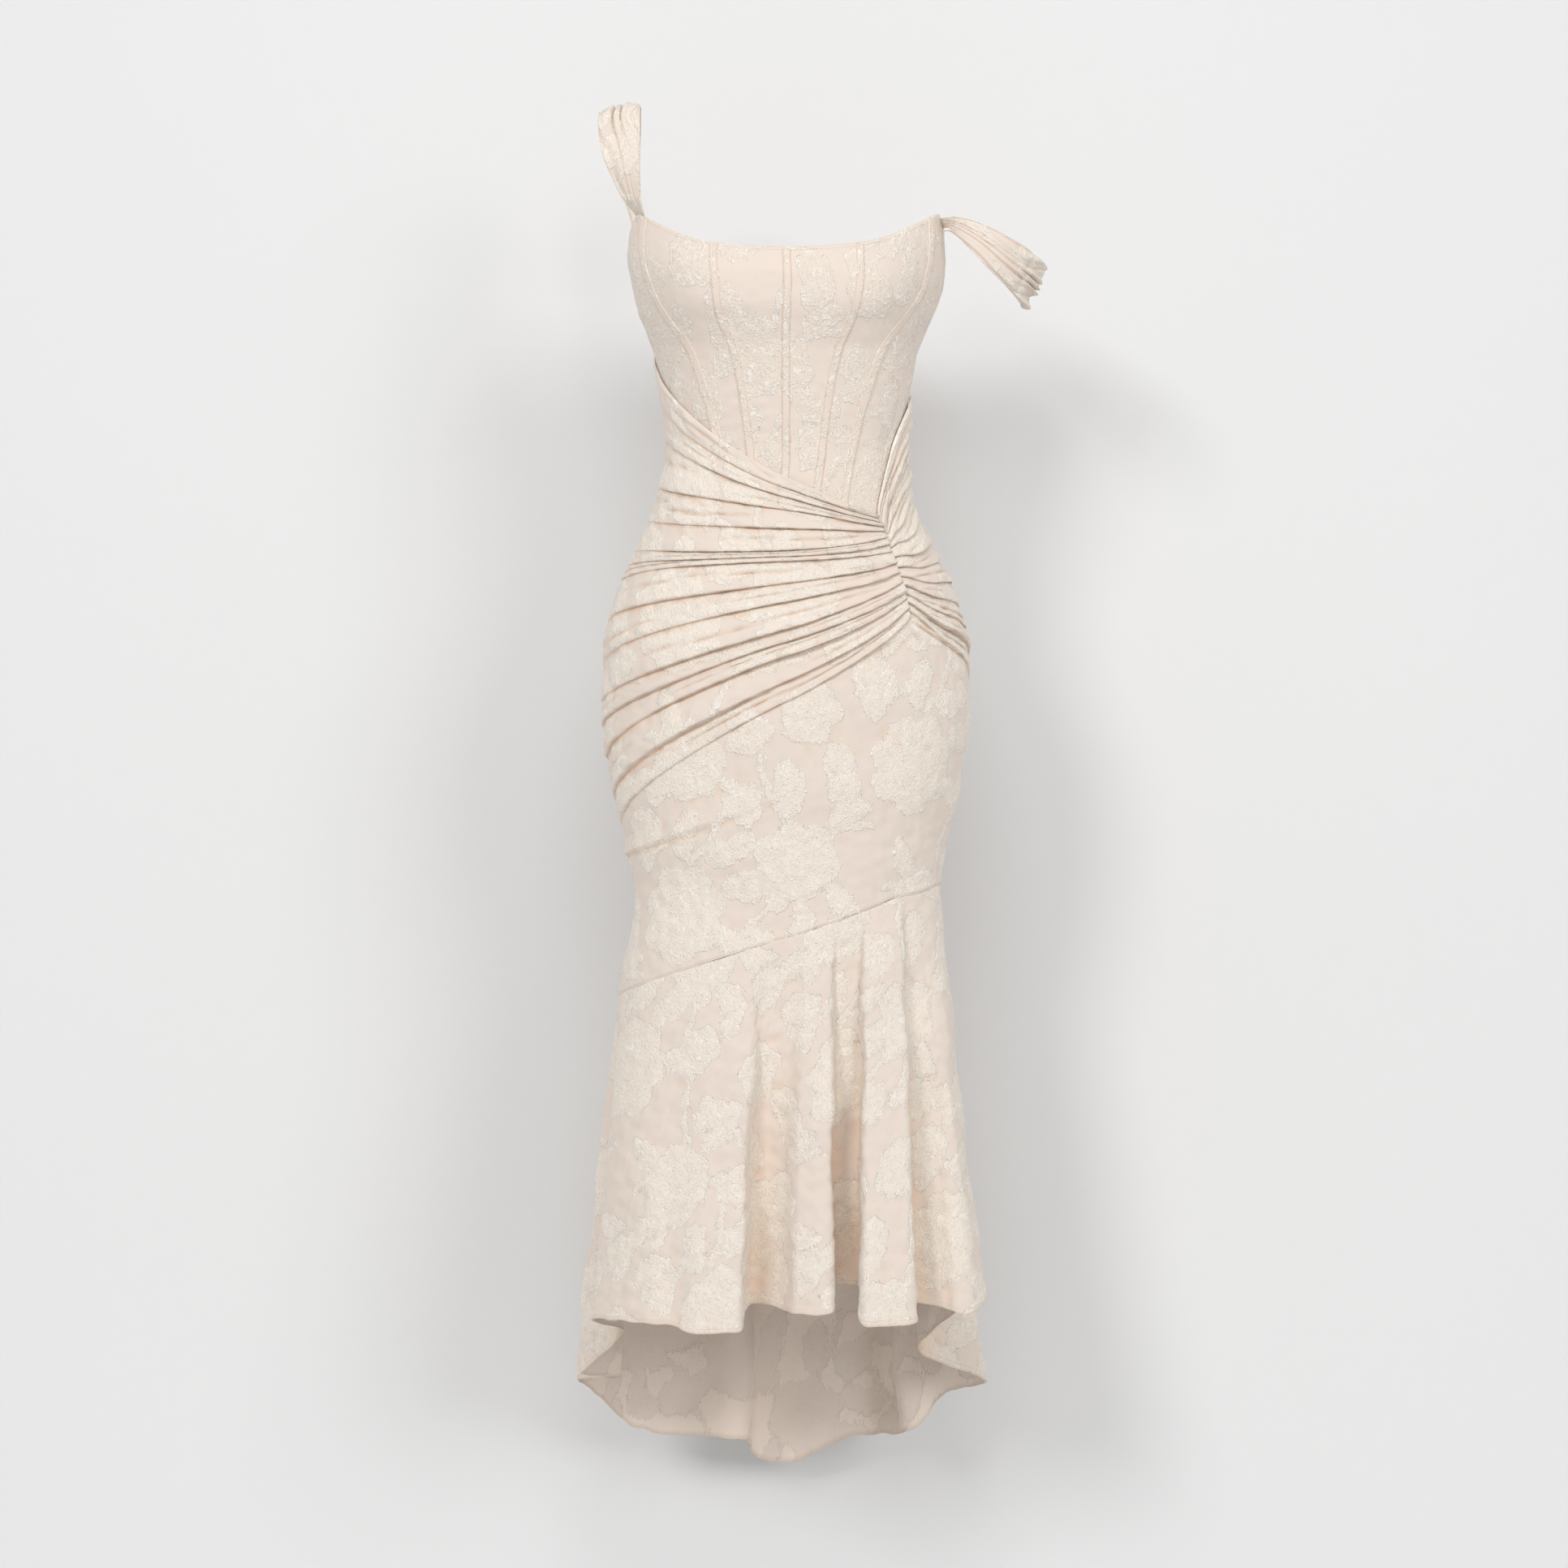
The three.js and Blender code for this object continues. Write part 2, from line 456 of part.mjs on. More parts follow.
function buildBodice() {
  const made = {};
  const panels = [
    { name: "centre_back_right", from: level(-180), to: seamAt("back", -1), around: 3 },
    { name: "side_back_right", from: seamAt("back", -1), to: level(-sideSeam), around: 4 },
    { name: "side_right", from: level(-sideSeam), to: seamAt("outer", -1), around: 6 },
    { name: "side_front_right", from: seamAt("outer", -1), to: seamAt("inner", -1), around: 4 },
    { name: "centre_front_right", from: seamAt("inner", -1), to: level(0), around: 3 },
    { name: "centre_front_left", from: level(0), to: seamAt("inner", 1), around: 3 },
    { name: "side_front_left", from: seamAt("inner", 1), to: seamAt("outer", 1), around: 4 },
    { name: "side_left", from: seamAt("outer", 1), to: level(sideSeam), around: 7 },
    { name: "side_back_left", from: level(sideSeam), to: seamAt("back", 1), around: 4 },
    { name: "centre_back_left", from: seamAt("back", 1), to: level(180), around: 3 },
  ];
  for (const { name, from, to, around } of panels) {
    made[name] = panelPlaces(from, to, around);
    addPiece(name, panelWall(made[name]));
  }
  const underSkirt = lap + casingFootIn;
  const casings = [
    { name: "casing_centre", before: "centre_front_right", after: "centre_front_left", in: underSkirt },
    { name: "casing_inner_right", before: "side_front_right", after: "centre_front_right", in: underSkirt },
    { name: "casing_inner_left", before: "centre_front_left", after: "side_front_left", in: underSkirt },
    { name: "casing_outer_right", before: "side_right", after: "side_front_right", in: underSkirt },
    { name: "casing_outer_left", before: "side_front_left", after: "side_left", in: underSkirt },
    { name: "casing_back_left", before: "side_back_left", after: "centre_back_left", in: casingFootIn },
    { name: "casing_back_right", before: "centre_back_right", after: "side_back_right", in: casingFootIn },
  ];
  for (const row of casings) {
    addPiece(row.name, casing(made[row.before], made[row.after], row.in), casingColour);
  }
}

function buildSkirt() {
  const pleated = counted(0, 14, 14 * steps.rowsPerPleat);
  const plain = [14.35, 14.7, 14.88, 15, 15.12, 15.35, 15.7, 16, 16.5, 17, 17.5, 18];
  const columns = [0, 0.08, 0.17, 0.26, 0.36, 0.46, 0.56, 0.66, 0.76, 0.85, 0.92, 0.965, 1];
  const pastGather = [0.03, 0.09, 0.17, 0.28, 0.42, 0.6, 0.8, 1];
  const spots = [...pleated, ...plain].map((line) => {
    const start = rightSeamDeg(acrossHeight(line, -sideSeam)) + sideGap;
    return [
      ...columns.map((t) => mix(start, gatherDeg, t)),
      ...pastGather.map((t) => mix(gatherDeg, sideSeam - sideGap, t)),
    ].map((deg) => {
      const z = acrossHeight(line, deg) + (line === kneeLine ? kneeGap / 2 : 0);
      return { deg, z, out: skirtLift + pleatRise(line, deg) };
    });
  });
  const place = (extra) => spots.map((row) => row.map((s) => onFigure(s.deg, s.z, s.out + extra)));
  addPiece("skirt_front", wall(place(0), place(-cloth)));

  // The back pieces have a row at each of these lines of the front, so that the right side seam,
  // where it comes forward, is the same on both sides of it
  const heights = [3, 4, 6, 8, 9.5, 11, 12.5, 14, 15, 15.7, 16, 16.5, 17, 17.5, 18];
  const backRows = [waistSeam, ...heights.map((line) => acrossHeight(line, -sideSeam))];
  const backHalf = (from, to) => {
    const foot = backRows[backRows.length - 1];
    const rows = backRows.map((height) =>
      counted(0, 1, steps.skirtBackAround).map((u) => {
        const deg = mix(from(height), to(height), u);
        const v = (height - foot) / (waistSeam - foot);
        return { deg, z: mix(kneeSeam(deg) + kneeGap / 2, waistSeam - seamGap / 2, v) };
      }),
    );
    const at = (out) => rows.map((row) => row.map((s) => onFigure(s.deg, s.z, out)));
    return wall(at(skirtLift), at(skirtLift - cloth));
  };
  const rightEdge = (z) => 360 + rightSeamDeg(z) - sideGap;
  const [leftEdge, middle] = [sideSeam + sideGap, halfGap(180)];
  addPiece("skirt_back_left", backHalf(level(leftEdge), level(180 - middle)));
  addPiece("skirt_back_right", backHalf(level(180 + middle), rightEdge));
}

// The hem as a closed run of points, each with the seam angle that it hangs from
function hemRun() {
  const count = hemTurns.length;
  const closed = [...hemTurns, { ...hemTurns[0], seam: hemTurns[0].seam + 360 }];
  const way = (turn, sign) =>
    new THREE.Vector2(turn.x, turn.y).addScaledVector(
      new THREE.Vector2(Math.cos(turn.runs * radians), Math.sin(turn.runs * radians)),
      sign * turn.reach,
    );
  const numbered = closed.map((turn, at) => ({ at, seam: turn.seam, z: turn.z, bow: turn.bow }));
  const run = [];
  for (let i = 0; i < count; i += 1) {
    const [a, b] = [closed[i], closed[i + 1]];
    const bend = new THREE.CubicBezierCurve(
      new THREE.Vector2(a.x, a.y),
      way(a, 1),
      way(b, -1),
      new THREE.Vector2(b.x, b.y),
    );
    for (let k = 0; k < steps.hemPerTurn; k += 1) {
      const t = k / steps.hemPerTurn;
      const plan = bend.getPoint(t);
      const z = column(numbered, "at", "z", i + t);
      const seam = column(numbered, "at", "seam", i + t);
      const bow = column(numbered, "at", "bow", i + t);
      run.push({ seam, bow, hem: new THREE.Vector3(plan.x, plan.y, z) });
    }
  }
  return run;
}

// The flounce hangs in straight lines from the knee seam to the hem. It is laid out as one closed
// loop of columns, with two columns side by side at each side seam, and then parted there.
function buildFlounce() {
  const run = hemRun();
  const beside = (deg, side) => {
    const i = run.findIndex((spot) => spot.seam > deg);
    const [a, b] = [run[i - 1] ?? run[0], run[i - 1] ? run[i] : run[1]];
    const t = (deg - a.seam) / (b.seam - a.seam);
    const along = b.hem.clone().sub(a.hem).normalize();
    const hem = a.hem.clone().lerp(b.hem, t).addScaledVector(along, (side * seamGap) / 2);
    return { seam: deg + side * sideGap, bow: mix(a.bow, b.bow, t), hem, side };
  };
  const corner = run[0].seam;
  const clear = 1; // degrees from a side seam to the next column
  const inside = (from, to) => run.filter((spot) => spot.seam > from + clear && spot.seam < to - clear);
  const last = { ...beside(corner, -1), seam: corner + 360 - sideGap };
  const front = [beside(corner, 1), ...inside(corner, sideSeam), beside(sideSeam, -1)];
  const back = [beside(sideSeam, 1), ...inside(sideSeam, corner + 360), last];
  const loop = [...front, ...back];
  const grid = counted(0, 1, steps.flounceDown).map((down) =>
    loop.map(({ seam, bow, hem }) => {
      const top = onFigure(seam, kneeSeam(seam) - kneeGap / 2, skirtLift);
      const outwards = down + bow * down * (1 - down);
      return new THREE.Vector3(
        mix(top.x, hem.x, outwards),
        mix(top.y, hem.y, outwards),
        mix(top.z, hem.z, down),
      );
    }),
  );
  // The column next to this one, past its twin at a seam
  const next = (j, way) => {
    const at = (j + way + loop.length) % loop.length;
    return loop[j].side === -way ? (at + way + loop.length) % loop.length : at;
  };
  const behind = grid.map((row, i) =>
    row.map((point, j) => {
      const below = grid[Math.min(i + 1, grid.length - 1)][j];
      const above = grid[Math.max(i - 1, 0)][j];
      const on = row[next(j, 1)].clone().sub(row[next(j, -1)]);
      const inwards = on.cross(below.clone().sub(above)).normalize();
      return point.clone().addScaledVector(inwards, cloth);
    }),
  );
  const part = (rows, from, to) => rows.map((row) => row.slice(from, to));
  const piece = (from, to) => wall(part(grid, from, to), part(behind, from, to));
  addPiece("flounce_front", piece(0, front.length));
  addPiece("flounce_back", piece(front.length, loop.length));
}

// A gathered strap: a band of cloth along its rows, with waves side by side across it, and at both
// ends a last row made from the points of the bodice's top edge
function strap(rows, ends, waves) {
  const spline = new THREE.CatmullRomCurve3(rows.map((r) => new THREE.Vector3(r.x, r.y, r.z)));
  const numbered = rows.map((r, at) => ({ ...r, at }));
  const band = counted(0, 1, steps.strapAlong).map((t) => {
    const of = (name) => column(numbered, "at", name, t * (rows.length - 1));
    const across = new THREE.Vector3(of("across"), of("back"), of("up"));
    const face = across.clone().cross(spline.getTangent(t)).normalize();
    return { middle: spline.getPoint(t), across, face, gather: of("gather") };
  });
  const core = band[0].middle.clone().lerp(band[band.length - 1].middle, 0.5);
  core.lerp(band[Math.floor(band.length / 2)].middle, 0.5);
  const halfway = band[Math.floor(band.length / 2)];
  const sign = halfway.face.dot(halfway.middle.clone().sub(core)) > 0 ? 1 : -1;
  const rowOf = ({ middle, across, face, gather }, depth) =>
    counted(-1, 1, steps.strapAcross).map((side) => {
      const wave = 0.5 + 0.5 * Math.cos(Math.PI * waves * (side + 1));
      const flatness = Math.cos((side * Math.PI) / 2) ** 0.5 || 0;
      const lift = gather * wave + gather * 0.8 * flatness - depth;
      return middle.clone().addScaledVector(across, side).addScaledVector(face, sign * lift);
    });
  const endRow = ({ from, to, fromDrop, toDrop, out, turned }, depth) =>
    counted(0, 1, steps.strapAcross).map((t) => {
      const deg = mix(from, to, t);
      return onFigure(deg, topHeight(deg) - mix(fromDrop, toDrop, t), out + turned * depth);
    });
  const side = (depth) => [
    endRow(ends.front, depth),
    ...band.map((row) => rowOf(row, depth)),
    endRow(ends.back, depth),
  ];
  return wall(side(0), side(cloth));
}

function buildStraps() {
  addPiece("strap_right", strap(shoulderStrap, shoulderEnds, strapWaves.shoulder));
  addPiece("strap_left", strap(armStrap, armEnds, strapWaves.arm));
}

buildBodice();
buildSkirt();
buildFlounce();
buildStraps();

export default dress;
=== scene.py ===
import bpy
import numpy as np
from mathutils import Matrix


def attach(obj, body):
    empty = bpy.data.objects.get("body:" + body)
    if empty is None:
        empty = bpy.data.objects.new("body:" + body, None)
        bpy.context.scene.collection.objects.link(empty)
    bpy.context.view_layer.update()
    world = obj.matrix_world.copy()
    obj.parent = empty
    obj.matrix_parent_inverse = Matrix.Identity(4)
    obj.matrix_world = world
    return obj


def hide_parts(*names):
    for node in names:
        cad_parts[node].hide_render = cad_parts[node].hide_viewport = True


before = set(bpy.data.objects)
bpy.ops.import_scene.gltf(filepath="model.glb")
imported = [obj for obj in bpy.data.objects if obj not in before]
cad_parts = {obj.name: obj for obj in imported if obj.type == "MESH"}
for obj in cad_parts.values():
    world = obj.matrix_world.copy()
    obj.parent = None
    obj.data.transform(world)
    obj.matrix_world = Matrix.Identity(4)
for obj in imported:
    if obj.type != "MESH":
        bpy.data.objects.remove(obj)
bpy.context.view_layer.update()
scene = bpy.context.scene

camera = {"x": 0.0, "y": -5.941, "z": -0.3575, "lens": 135, "sensor": 36, "clipEnd": 40}


def addCamera():
    data = bpy.data.cameras.new("camera")
    data.lens, data.sensor_width, data.clip_end = camera["lens"], camera["sensor"], camera["clipEnd"]
    made = bpy.data.objects.new("camera", data)
    made.location = (camera["x"], camera["y"], camera["z"])
    made.rotation_euler = (np.pi / 2, 0, 0)
    scene.collection.objects.link(made)
    scene.camera = made


addCamera()
print("tables and curves")


def columns(names, rows):
    # A table as one array for each named column
    values = np.array(rows, float)
    return {name: values[:, i] for i, name in enumerate(names.split())}


def smooth(t):
    t = np.clip(t, 0, 1)
    return t * t * (3 - 2 * t)


def mix(a, b, t):
    return a + (b - a) * t


def cubic(a, b, slopeA, slopeB, span, t):
    t2, t3 = t * t, t * t * t
    ends = a * (2 * t3 - 3 * t2 + 1) + b * (3 * t2 - 2 * t3)
    return ends + span * (slopeA * (t3 - 2 * t2 + t) + slopeB * (t3 - t2))


def column(table, key, name, at):
    # A smooth curve through a column that never overshoots a row
    x, y = table[key], table[name]
    rise = np.diff(y) / np.diff(x)
    before, after = rise[:-1], rise[1:]
    both = np.where(before * after > 0, before + after, 1)
    inner = np.where(before * after > 0, 2 * before * after / both, 0)
    slope = np.concatenate([rise[:1], inner, rise[-1:]])
    place = np.clip(at, x[0], x[-1])
    i = np.clip(np.searchsorted(x, place, side="right") - 1, 0, len(x) - 2)
    span = x[i + 1] - x[i]
    return cubic(y[i], y[i + 1], slope[i], slope[i + 1], span, (place - x[i]) / span)


def unit(v):
    return v / np.maximum(np.linalg.norm(v, axis=-1, keepdims=True), 1e-9)


# Millimetres; the shares are those of its flat rectangle that a sheet's area stays between
cloth = {
    "thick": 1.3, "seamGap": 0.14, "kneeGap": 0.1, "sideGapShare": 1.4,
    "leastShare": 0.301, "mostShare": 0.999,
}
form = {"squareness": 0.94, "skirtLift": 2.8, "lap": 10, "sideSeam": 97, "waistSeam": -10}
figure = columns("z right left front back", [
    (-580, 166, 167, 102, 106),
    (-520, 154, 155, 94, 98),
    (-467, 147, 154, 92, 97),
    (-430, 154, 159, 95, 101),
    (-357, 170, 175, 100, 114),
    (-283, 179, 185, 103, 127),
    (-221, 179, 182, 104, 128),
    (-172, 168, 170.5, 101, 120),
    (-123, 147, 150, 96, 106),
    (-74, 127, 126, 89, 90),
    (-25, 116.5, 120.5, 86, 80),
    (25, 121, 125, 91, 83),
    (74, 130, 134, 98, 88),
    (98, 139, 143, 105, 90),
    (123, 148, 154, 112, 91),
    (148, 154, 161, 113, 90),
    (172, 158, 163, 106, 86),
    (190, 157, 162, 96, 80),
    (209, 153, 160, 82, 70),
    (230, 148, 158, 64, 58),
])
cup = {"deg": 33, "z": 132, "spreadDeg": 19, "spreadUp": 46, "spreadDown": 34, "rise": 9}
topEdge = columns("deg z", [
    (0, 176), (10, 177), (19, 179.5), (27, 182.5), (35, 187.5), (43, 194), (52, 202), (61, 209),
    (70, 214.5), (78, 216.5), (84, 209), (92, 199), (105, 191), (130, 177), (155, 165), (180, 161),
])
seams = columns("z inner outer back", [
    (-110, 12, 24.5, 155),
    (-80, 13, 26.5, 155),
    (-34, 15.7, 31.5, 153),
    (3, 17.5, 35.5, 151),
    (40, 19.4, 40.5, 149),
    (78, 21.9, 45.5, 147),
    (107, 24.6, 53, 146),
    (145, 24.6, 60.5, 146),
    (183, 25, 64.5, 147),
    (216, 25, 67.5, 148),
])


def onFigure(deg, z, out=0.0):
    deg, z, out = np.broadcast_arrays(np.asarray(deg, float), np.asarray(z, float), np.asarray(out, float))
    right, left = column(figure, "z", "right", z), column(figure, "z", "left", z)
    turn = np.radians(deg)
    across = np.sign(np.sin(turn)) * np.abs(np.sin(turn)) ** form["squareness"]
    along = np.sign(np.cos(turn)) * np.abs(np.cos(turn)) ** form["squareness"]
    depth = np.where(along > 0, column(figure, "z", "front", z), column(figure, "z", "back", z))
    up = np.where(z > cup["z"], cup["spreadUp"], cup["spreadDown"])
    away = ((np.abs(deg) - cup["deg"]) / cup["spreadDeg"]) ** 2 + ((z - cup["z"]) / up) ** 2
    swell = out + cup["rise"] * np.exp(-away)
    x = (left - right) / 2 + ((left + right) / 2 + swell) * across
    return np.stack([x, -(depth + swell) * along, z], axis=-1)


def topHeight(deg):
    return column(topEdge, "deg", "z", np.abs(deg))


# Lines that run across the skirt front, from its top edge down. Lines 0 to 14 are the hollows
# between the pleats and all meet the gathered seam.
gatherDeg, pleatCount, kneeLine = 43, 14, 18
acrossLines = columns("line right rightSlope gather into outOf left leftSlope", [
    (0, 76, -1.3, -88.5, -0.6, 5.0, 36, 0.4),
    (1, 40, -1.0, -92.5, -0.45, 4.6, 22, 0.4),
    (2, -5, -0.4, -96.5, -0.4, 4.2, 8, 0.4),
    (3, -58, -0.1, -100.5, -0.35, 3.8, -7, 0.4),
    (4, -90, -0.2, -105, 0, 3.3, -24, 0.4),
    (5, -124, 0.1, -110.5, 0.6, 2.6, -42, 0.3),
    (6, -140, 0.25, -118, 0.5, 1.8, -62, 0.2),
    (7, -158, 0.5, -126, 0.35, 1.0, -84, 0.1),
    (8, -198, 0.5, -137, 0.6, 0.6, -108, 0),
    (9, -243, 0.7, -146, 0.75, 0.2, -132, -0.2),
    (10, -278, 0.4, -155, 1.2, -0.3, -158, -0.5),
    (11, -304, 0.5, -163.5, 1.25, -0.7, -184, -0.8),
    (12, -338, 0.7, -172, 1.3, -1.2, -208, -1.2),
    (13, -379, 0.75, -181, 1.8, -1.7, -232, -1.5),
    (14, -405, 0.6, -192, 2.0, -1.9, -258, -1.6),
    (15, -430, 0.1, -300, 2.0, 0.6, -310, -0.6),
    (16, -482, 0.3, -388, 0.9, 0.7, -362, 0.2),
    (17, -527, 0.3, -432, 0.8, 0.5, -410, 0.2),
    (18, -572, 0.1, -471.5, 0.85, 0.35, -457, 0),
])
rightSideForward = columns("z deg", [(-580, -78), (-560, -79), (-500, -91), (-460, -97), (-400, -97)])


def acrossHeight(line, deg):
    line, deg = np.broadcast_arrays(np.asarray(line, float), np.asarray(deg, float))
    take = {n: column(acrossLines, "line", n, line) for n in acrossLines if n != "line"}
    side = form["sideSeam"]
    toGather, fromGather = gatherDeg + side, side - gatherDeg
    before = cubic(take["right"], take["gather"], take["rightSlope"], take["into"], toGather,
                   (deg + side) / toGather)
    after = cubic(take["gather"], take["left"], take["outOf"], take["leftSlope"], fromGather,
                  (deg - gatherDeg) / fromGather)
    return np.where(deg <= gatherDeg, before, after)


def kneeSeam(deg):
    turned = np.where(np.asarray(deg) > 180, np.asarray(deg) - 360, deg)
    side = form["sideSeam"]
    front = acrossHeight(kneeLine, np.clip(turned, -side, side))
    behind = np.where(turned < 0, turned + 360, turned)
    t = smooth((behind - side) / (360 - 2 * side))
    back = mix(acrossHeight(kneeLine, side), acrossHeight(kneeLine, -side), t)
    return np.where(np.abs(turned) <= side, front, back)


def bodiceFoot(deg):
    side = form["sideSeam"]
    front = acrossHeight(0, np.clip(deg, -side, side)) - form["lap"]
    return np.where(np.abs(deg) <= side, front, form["waistSeam"] + cloth["seamGap"] / 2)


def halfGap(deg):
    step = np.linalg.norm(onFigure(deg, 0) - onFigure(np.asarray(deg) + 1, 0), axis=-1)
    return cloth["seamGap"] / 2 / step


sideGap = float(cloth["sideGapShare"] * halfGap(form["sideSeam"]))


def sampled(grid, down, across):
    # A grid's values between its points
    down = np.clip(down, 0, grid.shape[0] - 1.001)
    across = np.clip(across, 0, grid.shape[1] - 1.001)
    i, j = np.floor(down).astype(int), np.floor(across).astype(int)
    upper = mix(grid[i, j], grid[i, j + 1], across - j)
    lower = mix(grid[i + 1, j], grid[i + 1, j + 1], across - j)
    return mix(upper, lower, down - i)


def bell(distance, width):
    # A bell: 1 at the middle, falling away on both sides
    return np.exp(-((distance / width) ** 2))


repeat = {"wide": 236.0, "high": 300.0, "cell": 1.0, "margin": 3, "warp": 1.1}
# Blooms: middle, radius, how many petals, turn in degrees
blooms = [
    (56, 66, 47, 7, 12),
    (172, 118, 41, 6, 40),
    (70, 214, 38, 6, 70),
    (190, 262, 30, 5, 0),
    (134, 30, 22, 5, 30),
    (16, 146, 23, 5, 10),
    (122, 170, 20, 5, 50),
    (222, 190, 17, 5, 25),
    (118, 262, 16, 5, 70),
    (222, 40, 19, 5, 55),
    (98, 122, 14, 5, 15),
]
# Leaves: root, length, half width, the way they point, how much they bend, how fringed they are
leaves = [
    (98, 88, 62, 15, 14, 0.005, 0.16),
    (96, 48, 52, 13, -52, -0.007, 0.3),
    (20, 104, 46, 12, 116, 0.008, 0.22),
    (58, 116, 56, 14, 74, -0.005, 0.34),
    (166, 160, 60, 15, 98, 0.006, 0.18),
    (136, 140, 44, 12, 196, -0.008, 0.3),
    (204, 92, 44, 12, -40, 0.010, 0.24),
    (178, 76, 50, 13, -92, -0.005, 0.34),
    (104, 230, 52, 13, 24, 0.007, 0.2),
    (58, 250, 44, 12, 112, -0.008, 0.32),
    (36, 200, 46, 12, 196, 0.005, 0.26),
    (100, 196, 40, 10, -26, 0.010, 0.3),
    (206, 232, 44, 11, -58, -0.007, 0.22),
    (210, 14, 46, 12, 74, 0.008, 0.3),
    (160, 20, 40, 11, 30, -0.010, 0.2),
    (12, 22, 38, 10, -150, 0.007, 0.3),
    (146, 66, 38, 10, 62, 0.008, 0.18),
    (24, 170, 40, 10, 44, -0.008, 0.3),
    (150, 238, 40, 11, 150, 0.008, 0.24),
    (206, 150, 36, 10, 34, -0.008, 0.3),
]
# Stems: root, length, which way, bend
stems = [
    (66, 112, 84, 62, 0.005),
    (166, 156, 74, 112, -0.005),
    (124, 50, 70, 58, 0.007),
    (92, 246, 72, 66, -0.006),
    (28, 130, 60, 30, 0.008),
    (206, 236, 66, -80, 0.005),
    (200, 140, 56, 10, -0.007),
    (20, 240, 60, 20, 0.007),
]
stemHalf = 1.8
farAway = 9.0  # stands for no outline or line near


def bloomField(x, y, radius, petals, turn):
    r = np.hypot(x, y)
    a = np.arctan2(y, x) - np.radians(turn)
    uneven = 1 + 0.09 * np.sin(a + radius) + 0.06 * np.sin(2 * a + turn)
    lobe = np.abs(np.cos(petals * a / 2)) ** 0.6
    outline = radius * uneven * (0.82 + 0.18 * lobe)
    inside = outline - r
    second = radius * uneven * (0.60 + 0.12 * np.abs(np.sin((petals - 1) * a / 2 + 0.6)) ** 0.6)
    third = radius * (0.30 + 0.08 * np.abs(np.cos((petals - 2) * a / 2 + 1.1)) ** 0.6)
    share = np.mod(a * petals / (2 * np.pi) + 0.5, 1)
    fold = np.minimum(share, 1 - share) * 2 * np.pi / petals * r
    inner = np.mod(a * (petals - 1) / (2 * np.pi) + 0.3, 1)
    innerFold = np.minimum(inner, 1 - inner) * 2 * np.pi / (petals - 1) * r
    parting = np.where(r > second, fold, np.where(r > third, innerFold, farAway))
    lines = np.minimum(np.minimum(np.abs(r - second), np.abs(r - third)), parting)
    return inside, np.where(inside > 0, lines, farAway)


def bentLine(x, y, length, turn, bend):
    # How far along a bent line a place is, and how far to its side
    way = np.radians(turn)
    along = x * np.cos(way) + y * np.sin(way)
    return along, -x * np.sin(way) + y * np.cos(way) - bend * along * (along - length)


def leafField(x, y, length, half, turn, bend, fringed):
    along, aside = bentLine(x, y, length, turn, bend)
    t = np.clip(along / length, 0, 1)
    teeth = np.mod(along / 6.5 + np.where(aside > 0, 0.4, 0), 1)
    width = half * np.sin(np.pi * t ** 0.8) ** 0.75 * (1 - fringed * teeth)
    inside = np.where((along > 0) & (along < length), width - np.abs(aside), -farAway)
    ribs = np.abs(np.mod((along - 0.9 * np.abs(aside)) / 9, 1) - 0.5) * 9
    lines = np.minimum(np.abs(aside), ribs + 0.7)
    return inside, np.where(inside > 0, lines, farAway)


def stemField(x, y, length, turn, bend):
    along, aside = bentLine(x, y, length, turn, bend)
    inside = np.where((along > 0) & (along < length), stemHalf - np.abs(aside), -farAway)
    return inside, np.full_like(inside, farAway)


def weavePattern():
    # The pattern's distance inside its outlines, and the distance to its inner lines, over one repeat
    step, margin = repeat["cell"], repeat["margin"]
    wide, high = repeat["wide"], repeat["high"]
    xs = np.arange(-margin, wide + margin + step, step)
    ys = np.arange(-margin, high + margin + step, step)
    y, x = np.meshgrid(ys, xs, indexing="ij")
    # Every outline wavers a little; whole waves down a repeat keep the half drop
    wx, wy = 2 * np.pi / wide, 2 * np.pi / high
    x2 = x + repeat["warp"] * (np.sin(8 * wy * y + 3 * wx * x) + 0.6 * np.sin(18 * wy * y - 11 * wx * x + 1))
    y2 = y + repeat["warp"] * (np.sin(9 * wx * x + 4 * wy * y + 2) + 0.6 * np.sin(17 * wx * x - 14 * wy * y))
    inside, lines = np.full(x.shape, -farAway), np.full(x.shape, farAway)
    drops = [(0, 0), (0, 1), (0, -1), (1, 0.5), (1, -0.5), (-1, 0.5), (-1, -0.5)]
    kinds = [(stemField, stems), (leafField, leaves), (bloomField, blooms)]
    for across, down in drops:
        for field, rows in kinds:
            for cx, cy, *rest in rows:
                part, inner = field(x2 - cx - across * wide, y2 - cy - down * high, *rest)
                over = part > 0
                edge = np.where((inside > 0) | over, np.abs(part), farAway)
                under = np.where(inside > 0, np.minimum(lines, edge), farAway)
                lines = np.where(over, np.minimum(inner, edge + 0.3), under)
                inside = np.maximum(inside, part)
    return inside, lines


insideMap, linesMap = weavePattern()
print(f"pattern covers {np.mean(insideMap > 0):.2f} of the cloth")


def patternAt(uv):
    # The pattern where a point of the cloth lies, across and up it in millimetres
    s, t = uv[..., 0], uv[..., 1]
    tile = np.floor(s / repeat["wide"])
    x = s - tile * repeat["wide"]
    y = np.mod(t + np.mod(tile, 2) * repeat["high"] / 2, repeat["high"])
    place = (y + repeat["margin"]) / repeat["cell"], (x + repeat["margin"]) / repeat["cell"]
    return sampled(insideMap, *place), sampled(linesMap, *place)


